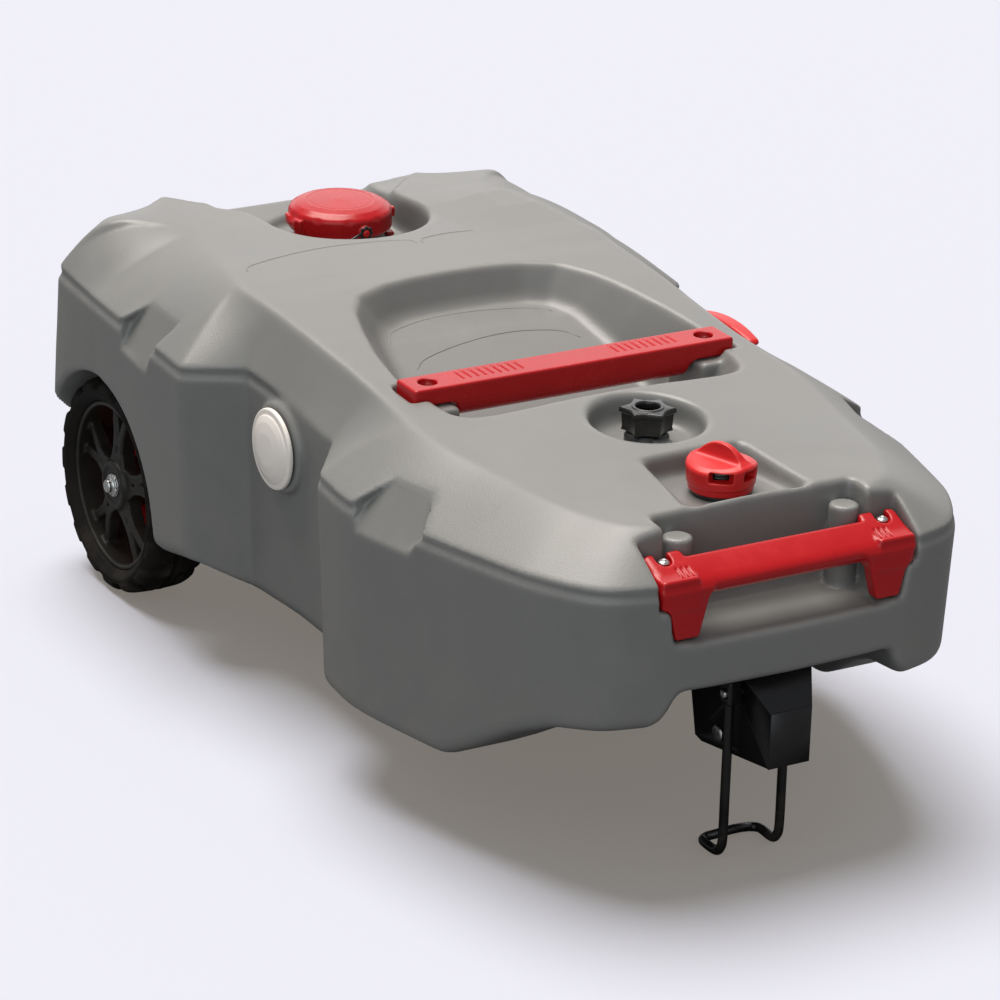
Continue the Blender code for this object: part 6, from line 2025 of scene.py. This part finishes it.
    def build_pipes(self) -> None:
        """Makes the flange behind the valve and the spigot in front of it, both turned about the waterway."""
        wall, bore = 0.0405, self.bore
        place = (self.x, 0.0, self.z)
        profile = [
            (bore, 0.2082), (0.0465, 0.2082), (0.0465, 0.2045), (wall, 0.2035), (wall, 0.1855),
            (0.0465, 0.185), (0.0465, 0.1803), (wall, 0.18), (wall, 0.1675), (bore, 0.1675),
        ]
        made = turned("outlet_pipe", rounded(profile, 0.0008, 3), Axis.Y, place, 112)
        fit(made, "tank", Slot.BLACK, "outlet_flange")
        profile = [
            (bore, 0.2459), (bore + 0.0008, 0.2465), (wall - 0.0008, 0.2465), (wall, 0.2457), (wall, 0.242),
            (wall + 0.0004, 0.24), (wall, 0.238), (wall, 0.2335), (0.0427, 0.2328), (0.0427, 0.2288),
            (bore, 0.2288),
        ]
        made = turned("outlet_nose", rounded(profile, 0.0006, 3), Axis.Y, place, 112)
        fit(made, "tank", Slot.BLACK, "outlet_spigot")

    def build_outlet_cap(self) -> None:
        """Makes the outlet cap: a ribbed cup with a shallow dish in its face and two ears."""

        def field(x: Array, y: Array, z: Array) -> Array:
            """The cup and its ears, less the inside and the dish."""
            across, up = x - self.x, z - self.z
            out = np.sqrt(across**2 + up**2)
            turn = np.arctan2(up, across)
            side = out - 0.0452 - 0.0006 * np.cos(36 * turn)
            cup = meet(side, np.abs(y - 0.2439) - 0.0086, 0.003)
            ears = meet(np.abs(up) - 0.008, np.abs(across) - 0.0488, 0.003)
            ears = meet(ears, 0.04 - np.abs(across), 0.001)
            ears = meet(ears, np.abs(y - 0.2439) - 0.007, 0.002)
            whole = join(cup, ears, 0.003)
            inside = meet(out - 0.0433, y - 0.2487, 0.001)
            dish = meet(out - 0.033, 0.2512 - y, 0.0014)
            return meet(meet(whole, -inside, 0.0008), -dish, 0.0014)

        low = (self.x - 0.0515, 0.2335, self.z - 0.0485)
        high = (self.x + 0.0515, 0.2545, self.z + 0.0485)
        made = moulded("outlet_lid", Lattice(low, high, 0.001).fill(field), 0.5)
        fit(made, "outlet_cap", Slot.RED, "outlet_cap")


@dataclass
class Wheel:
    """One wheel: tyre, spoked rim, bush and the parts that hold it on the axle.

    Args:
        side: 1 on the far side, -1 on the near side.
        x: The axle's place along the body.
        z: The axle's height, which is the tyre's radius.
        track: How far out its middle stands.
        inner: The tyre's inner radius.
        barrel: The rim's radius.
        barrel_half: Half the rim's width.
        hub: Radius of the hub.
        bore: Radius of the hub's bore.
        spokes: How many spokes the rim has.
        lugs: How many lugs stand round the tread on each side.
        step: Spacing of the rim's points.
    """

    side: int
    x: float = -0.334
    z: float = 0.1016
    track: float = 0.209
    inner: float = 0.0791
    barrel: float = 0.0788
    barrel_half: float = 0.024
    hub: float = 0.023
    bore: float = 0.01085
    spokes: int = 5
    lugs: int = 16
    step: float = 0.0014

    @property
    def name(self) -> str:
        """The side's name."""
        return "left" if self.side > 0 else "right"

    def tyre_swell(self, turn: Array, radius: Array, height: Array) -> Array:
        """Grooves between the lugs.

        They cut in where the cosine of the lug count times the turn is high, half a lug further on at the
        other shoulder, from near the middle of the tread out over each shoulder, and fade out down the
        sidewall. A narrow line along the tread's middle is left a little lower.
        """
        offset = np.where(height > 0, 0.0, math.pi) + 22.0 * np.abs(height)
        wave = np.cos(self.lugs * turn + offset)
        groove = np.clip((wave - 0.02) / 0.3, 0.0, 1.0)
        across = np.clip((np.abs(height) - 0.0045) / 0.003, 0.0, 1.0)
        down = np.clip((radius - 0.09) / 0.006, 0.0, 1.0)
        spine = 0.0012 * np.clip((0.003 - np.abs(height)) / 0.001, 0.0, 1.0) * down
        return -0.0052 * groove * across * down - spine

    def build_tyre(self) -> None:
        """Makes the tyre: half a section and its mirror image, turned about the axle, with a lugged tread."""
        tread = self.z
        right = [
            (tread - 0.0002, 0.006), (tread - 0.0003, 0.01), (tread - 0.0005, 0.014), (tread - 0.0008, 0.018),
            (tread - 0.0014, 0.0215), (tread - 0.0026, 0.025), (tread - 0.0046, 0.0282), (0.0945, 0.0302),
            (0.0918, 0.0306), (0.0905, 0.03), (0.089, 0.03), (0.0875, 0.0308), (0.086, 0.0302),
            (0.0835, 0.0285), (0.081, 0.0262), (self.inner, 0.0245),
        ]
        middle = [(tread, height) for height in (0.004, 0.0022, 0.0, -0.0022, -0.004)]
        profile = np.array([*right[::-1], *middle, *((radius, -height) for radius, height in right)])
        place = (self.x, self.side * self.track, self.z)
        made = turned(f"lug_tyre_{self.name}", profile, Axis.Y, place, self.lugs * 22, self.tyre_swell)
        fit(made, f"wheel_{self.name}", Slot.TYRE, f"tyre_{self.name}")

    def rim_field(self, x: Array, y: Array, z: Array) -> Array:
        """The rim: a barrel with a lip and a hub, joined by spokes that part into a V on their way out.

        A spoke is the strip about a line from the hub to the barrel, measured in its own plane, and each V
        has a slit at its root.
        """
        away = (y - self.side * self.track) * self.side
        across, up = x - self.x, z - self.z
        out = np.sqrt(across**2 + up**2)
        wall = np.abs(out - 0.0765) - 0.0022
        ring = meet(wall, np.abs(away) - self.barrel_half, 0.0015)
        hub = meet(out - self.hub, np.abs(away - 0.001) - 0.0228, 0.003)
        dish = meet(out - 0.0178, 0.0222 - away, 0.001)
        hub = meet(hub, -dish, 0.001)
        sector = math.tau / self.spokes
        turn = np.arctan2(up, across) - math.pi / 2
        off = np.mod(turn + sector / 2, sector) - sector / 2
        along, side = out * np.cos(off), np.abs(out * np.sin(off))
        lean = math.radians(19.0)
        middle = np.maximum(along - 0.033, 0) * math.tan(lean)
        half = np.interp(along, (0.018, 0.034, 0.045, 0.075), (0.015, 0.0092, 0.0052, 0.0042))
        spoke = (np.abs(side - middle) - half) * math.cos(lean)
        face = 0.019 - 0.1 * np.maximum(along - 0.034, 0)
        depth = meet(away - face, 0.0045 - away, 0.0018)
        reach = meet(out - 0.0765, 0.018 - along, 0.001)
        spoke = meet(meet(spoke, depth, 0.0022), reach, 0.001)
        whole = join(join(ring, hub, 0.003), spoke, 0.0045)
        slit = meet(side - 0.0011, np.abs(along - 0.0345) - 0.0032, 0.001)
        slit = meet(slit, 0.015 - away, 0.001)
        whole = meet(whole, -slit, 0.0008)
        return meet(whole, self.bore + 0.0003 - out, 0.001)

    def build(self) -> None:
        """Makes the wheel and what holds it."""
        self.build_tyre()
        reach = self.barrel + 0.002
        middle = self.side * self.track
        low = (self.x - reach, middle - 0.026, self.z - reach)
        high = (self.x + reach, middle + 0.026, self.z + reach)
        rim = moulded(f"spoked_rim_{self.name}", Lattice(low, high, self.step).fill(self.rim_field), 0.5)
        fit(rim, f"wheel_{self.name}", Slot.RIM, f"rim_{self.name}")
        place = (self.x, middle, self.z)
        bore = 0.0066
        profile = [
            (bore, 0.0226), (0.0078, 0.023), (0.0084, 0.0219), (0.0092, 0.0219), (0.0098, 0.023),
            (self.bore, 0.0226), (self.bore, -0.023), (bore, -0.023),
        ]
        profile = handed(rounded(profile, 0.0004, 3), self.side)
        bush = turned(f"hub_bearing_{self.name}", profile, Axis.Y, place, 72)
        fit(bush, f"wheel_{self.name}", Slot.ZINC, f"wheel_bush_{self.name}")
        profile = [(bore, 0.0262), (0.0076, 0.0264), (0.0086, 0.025), (0.01, 0.0246), (0.0107, 0.0239)]
        profile = handed(rounded([*profile, (0.0104, 0.0237), (bore, 0.0237)], 0.0004, 3), self.side)

        def fingers(turn: Array, radius: Array, height: Array) -> Array:
            """Eight notches in the retainer's edge."""
            return np.where(radius > 0.0095, -0.0012 * np.clip(np.cos(8 * turn) * 3 - 2, 0, 1), 0.0)

        clip = turned(f"axle_retainer_{self.name}", profile, Axis.Y, place, 96, fingers)
        fit(clip, "tank", Slot.ZINC, f"axle_nut_{self.name}")


@dataclass
class RunningGear:
    """The axle, its straps and the two wheels.

    Args:
        x: The axle's place along the body.
        z: The axle's height.
        half: Half the axle's length.
        radius: The axle's radius.
    """

    x: float = -0.334
    z: float = 0.1016
    half: float = 0.239
    radius: float = 0.00635

    def build(self, frame: dict) -> None:
        """Makes the running gear."""
        end, radius = self.half, self.radius
        profile = [(0.0, end), (radius - 0.0014, end), (radius, end - 0.0014), (radius, end - 0.006)]
        profile.append((radius - 0.0006, end - 0.0066))
        profile += [(r, -h) for r, h in profile[::-1]]
        axle = turned("axle_rod", rounded(profile, 0.0006, 3), Axis.Y, (self.x, 0.0, self.z), 48)
        fit(axle, "tank", Slot.ZINC, "axle")
        for side in ("left", "right"):
            strap = softened(f"axle_clamp_{side}", frame["nodes"][f"axle_strap_{side}"], 0.0006)
            fit(strap, "tank", Slot.STEEL, f"axle_strap_{side}")
        for side in (1, -1):
            Wheel(side).build()


@dataclass
class TowGear:
    """The folded steel bracket, the wire stand with its pivot and the hitch pin.

    Args:
        stand_x: The pivot's place along the body.
        stand_z: The pivot's height.
        rod: The wire's radius.
        lift: How far the foot stands off the floor.
        half: How far out the stand's two legs stand.
        foot: The foot's length.
        eye_out: How far out each eye reaches.
        eye_in: How far out each eye starts.
    """

    stand_x: float = 0.397
    stand_z: float = 0.15
    rod: float = 0.004
    lift: float = 0.0005
    half: float = 0.0275
    foot: float = 0.034
    eye_out: float = 0.033
    eye_in: float = 0.02

    def route(self) -> Array:
        """The wire's middle line: down one side, back along its foot, over the wavy cross piece and up."""
        low, half, x = self.rod + self.lift, self.half, self.stand_x
        toe = x - self.foot
        near = [
            (x, -half, self.stand_z), (x, -half, 0.11), (x, -half, 0.06), (x, -half, low + 0.016),
            (x - 0.003, -half, low + 0.005), (x - 0.01, -half, low), (toe + 0.006, -half, low),
            (toe, -half + 0.006, low),
        ]
        share = np.arange(1, 8) / 8
        rise = np.sin(math.pi * share)
        across = -half + 0.006 + share * (2 * half - 0.012)
        wave = np.column_stack([toe + 0.008 * rise, across, low + 0.006 * rise])
        far = [(px, -py, pz) for px, py, pz in near[::-1]]
        return curve_through([*near, *map(tuple, wave), *far], 6)

    def build(self, frame: dict) -> None:
        """Makes the tow gear."""
        bracket = softened("hitch_bracket", frame["nodes"]["tow_bracket"], 0.0007)
        fit(bracket, "tank", Slot.STEEL, "tow_bracket")
        wire = swept("stand_rod", self.route(), self.rod, 20)
        fit(wire, "stand", Slot.STEEL, "stand_wire")
        for side, sign in SIDES:
            edges = sorted((sign * self.eye_in, sign * self.eye_out))
            low = (self.stand_x - 0.0075, edges[0], self.stand_z - 0.01)
            high = (self.stand_x + 0.0075, edges[1], self.stand_z + 0.0125)
            lattice = Lattice(tuple(v - 0.0015 for v in low), tuple(v + 0.0015 for v in high), 0.0007)
            lattice.fill(box_field(low, high, 0.003))
            hole = disc_field(Axis.Y, (self.stand_x, 0.0, self.stand_z), 0.0043, 1.0, 0.001)
            lattice.cut(hole, lattice.low, lattice.high, 0.001)
            fit(moulded(f"stand_eye_{side}", lattice, 0.5), "stand", Slot.STEEL)
        for side, sign in SIDES:
            low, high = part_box(f"bracket_bolt_{side}")
            place = ((low[0] + high[0]) / 2, (low[1] + high[1]) / 2, low[2])
            profile = [
                (0.0, high[2] - low[2]), (0.0042, high[2] - low[2]), (0.0042, 0.0048), (0.0073, 0.0048),
                (0.0073, 0.001), (0.0064, 0.0), (0.0, 0.0),
            ]
            made = turned(f"bracket_screw_{side}", np.array(profile), Axis.Z, place, 48, hexagon(0.0064))
            fit(made, "tank", Slot.ZINC, f"bracket_bolt_{side}")
        self.build_pins()

    def build_pins(self) -> None:
        """Makes the pivot pin and the hitch pin, each turned about its own axis across the bracket."""
        pivot = [
            (0.0, 0.0363), (0.0052, 0.036), (0.007, 0.0348), (0.007, 0.0334), (0.004, 0.0333),
            (0.004, -0.0345), (0.0032, -0.0353), (0.0, -0.0353),
        ]
        made = turned("pivot_pin", rounded(pivot, 0.0005, 3), Axis.Y, (self.stand_x, 0.0, self.stand_z), 48)
        fit(made, "tank", Slot.ZINC, "stand_pivot_pin")
        low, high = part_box("hitch_pin")
        place = ((low[0] + high[0]) / 2, 0.0, (low[2] + high[2]) / 2)
        pin = [
            (0.0, high[1]), (0.0028, high[1]), (0.004, high[1] - 0.0012), (0.004, -0.0198), (0.0075, -0.0198),
            (0.0075, -0.0212), (0.006, low[1]), (0.0, low[1]),
        ]
        made = turned("hitch_pin_rod", rounded(pin, 0.0006, 3), Axis.Y, place, 48)
        fit(made, "hitch_pin", Slot.ZINC, "hitch_pin")


@dataclass
class Studio:
    """A plain pale floor and three broad lights: the main one above and behind, one that only reflections
    show and a weak one in front, for the object alone.

    Args:
        floor_colour: The floor's colour where the camera sees it.
        bounce_colour: The floor's colour as it throws light back.
        glow_colour: The colour that the floor shines in, for the camera alone.
        glow: The share of that shine in what the camera sees of the floor.
        size: The floor's length.
    """

    floor_colour: Colour = (0.603, 0.658, 0.798, 1.0)
    bounce_colour: Colour = (0.19, 0.2, 0.22, 1.0)
    glow_colour: Colour = (0.8, 0.72, 0.62, 1.0)
    glow: float = 0.22
    size: float = 60.0

    @staticmethod
    def lamp(name: str, strength: float, spread: float, turn: Point, colour: Point) -> bpy.types.Object:
        """A broad far-off light, like a large soft panel.

        Args:
            name: Its name.
            strength: Its strength.
            spread: The angle that it fills, in degrees.
            turn: Its turns about x, y and z, in degrees.
            colour: Its colour.

        Returns:
            The light.
        """
        made = bpy.data.objects.new(name, bpy.data.lights.new(name, "SUN"))
        made.data.energy = strength
        made.data.angle = math.radians(spread)
        made.data.color = colour
        made.rotation_euler = [math.radians(v) for v in turn]
        bpy.context.scene.collection.objects.link(made)
        return made

    def build_floor(self) -> bpy.types.Object:
        """Makes the floor, a grid whose far parts are flat too, and its material."""
        line = np.linspace(-self.size / 2, self.size / 2, 9)
        x, y = np.meshgrid(line, line, indexing="ij")
        points = np.column_stack([x.ravel(), y.ravel(), 0 * x.ravel() - 0.0002])
        cell = np.arange(81).reshape(9, 9)
        faces = np.stack([cell[:-1, :-1], cell[1:, :-1], cell[1:, 1:], cell[:-1, 1:]], axis=-1)
        floor = new_object("floor", new_mesh("floor", points, faces.reshape(-1, 4)))
        material = bpy.data.materials.new("floor")
        material.use_nodes = True
        tree = material.node_tree
        wiring = Wiring(tree)
        shader = tree.nodes["Principled BSDF"]
        base = {"Base Color": self.floor_colour, "Roughness": 0.85, "Specular IOR Level": 0.1}
        wiring.feed(shader, base)
        dim = wiring.add("ShaderNodeBsdfDiffuse", {"Color": self.bounce_colour})
        glow = wiring.add("ShaderNodeEmission", {"Color": self.glow_colour, "Strength": 1.0})
        path = wiring.add("ShaderNodeLightPath")
        seen = wiring.add("ShaderNodeMixShader", {0: self.glow, 1: shader.outputs[0], 2: glow.outputs[0]})
        wires = {0: path.outputs["Is Camera Ray"], 1: dim.outputs[0], 2: seen.outputs[0]}
        both = wiring.add("ShaderNodeMixShader", wires)
        tree.links.new(both.outputs[0], tree.nodes["Material Output"].inputs["Surface"])
        floor.data.materials.append(material)
        return floor

    def build_world(self) -> None:
        """Makes the surroundings: pale for the camera, less so in reflections, and dim as light."""
        world = bpy.data.worlds.new("studio")
        world.use_nodes = True
        bpy.context.scene.world = world
        wiring = Wiring(world.node_tree)
        background = world.node_tree.nodes["Background"]
        path = wiring.add("ShaderNodeLightPath")
        mirror = wiring.math("MAXIMUM", path.outputs["Is Glossy Ray"], path.outputs["Is Transmission Ray"])
        colour = wiring.mix(mirror, (0.2, 0.19, 0.185, 1.0), (0.36, 0.37, 0.4, 1.0))
        colour = wiring.mix(path.outputs["Is Camera Ray"], colour, (0.81, 0.81, 0.91, 1.0))
        wiring.feed(background, {"Color": colour, "Strength": 1.0})

    def build(self) -> None:
        """Makes the floor, the surroundings and the lights."""
        floor = self.build_floor()
        self.build_world()
        self.lamp("back_panel", 4.25, 40.0, (1.0, -19.0, 0.0), (1.0, 0.93, 0.87))
        sheen = self.lamp("backdrop", 0.75, 60.0, (-66.0, 0.0, 59.65), (1.0, 0.97, 0.95))
        sheen.visible_diffuse = False
        front = self.lamp("front_panel", 0.9, 60.0, (64.0, 0.0, 46.0), (0.88, 0.97, 1.0))
        kept_off = bpy.data.collections.new("without_front_panel")
        kept_off.objects.link(floor)
        front.light_linking.receiver_collection = kept_off
        kept_off.collection_objects[0].light_linking.link_state = "EXCLUDE"


def frame_camera() -> bpy.types.Object:
    """The camera at the photograph's angle."""
    turn, tilt, roll = math.radians(59.65052), math.radians(21.91302), math.radians(1.75181)
    ahead = Vector((-math.sin(turn) * math.cos(tilt), math.cos(turn) * math.cos(tilt), -math.sin(tilt)))
    right = Vector((math.cos(turn), math.sin(turn), 0.0))
    up = right.cross(ahead)
    level_right = right * math.cos(roll) + up * math.sin(roll)
    level_up = up * math.cos(roll) - right * math.sin(roll)
    made = bpy.data.objects.new("camera", bpy.data.cameras.new("camera"))
    made.data.sensor_width = 36.0
    made.data.lens = 163.964
    made.data.clip_end = 50.0
    basis = Matrix((level_right, level_up, -ahead)).transposed()
    made.matrix_world = Matrix.Translation((3.19103, -1.88373, 1.65816)) @ basis.to_4x4()
    bpy.context.scene.collection.objects.link(made)
    bpy.context.scene.camera = made
    return made


def main() -> None:
    """Builds every piece, dresses what stays of the frame, and lights it."""
    logging.basicConfig(level=logging.INFO, format="%(message)s")
    for old in list(bpy.data.objects):
        bpy.data.objects.remove(old)
    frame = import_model()
    frame_camera()
    for node in frame["nodes"].values():
        slot = Slot(node.material_slots[0].material.name.split(".")[0])
        dress(node, slot)
    tank = TankBody()
    fit(tank.build(), "tank", Slot.TANK, "tank_shell")
    PanelLines(tank).build()
    MiddleHandle().build()
    NoseHandle().build()
    Inlet().build()
    RinsePort().build()
    Vent().build()
    SidePort().build()
    GateValve().build()
    RunningGear().build(frame)
    TowGear().build(frame)
    Studio().build()
    bpy.context.scene.view_settings.view_transform = "Standard"


if __name__ == "__main__":
    main()
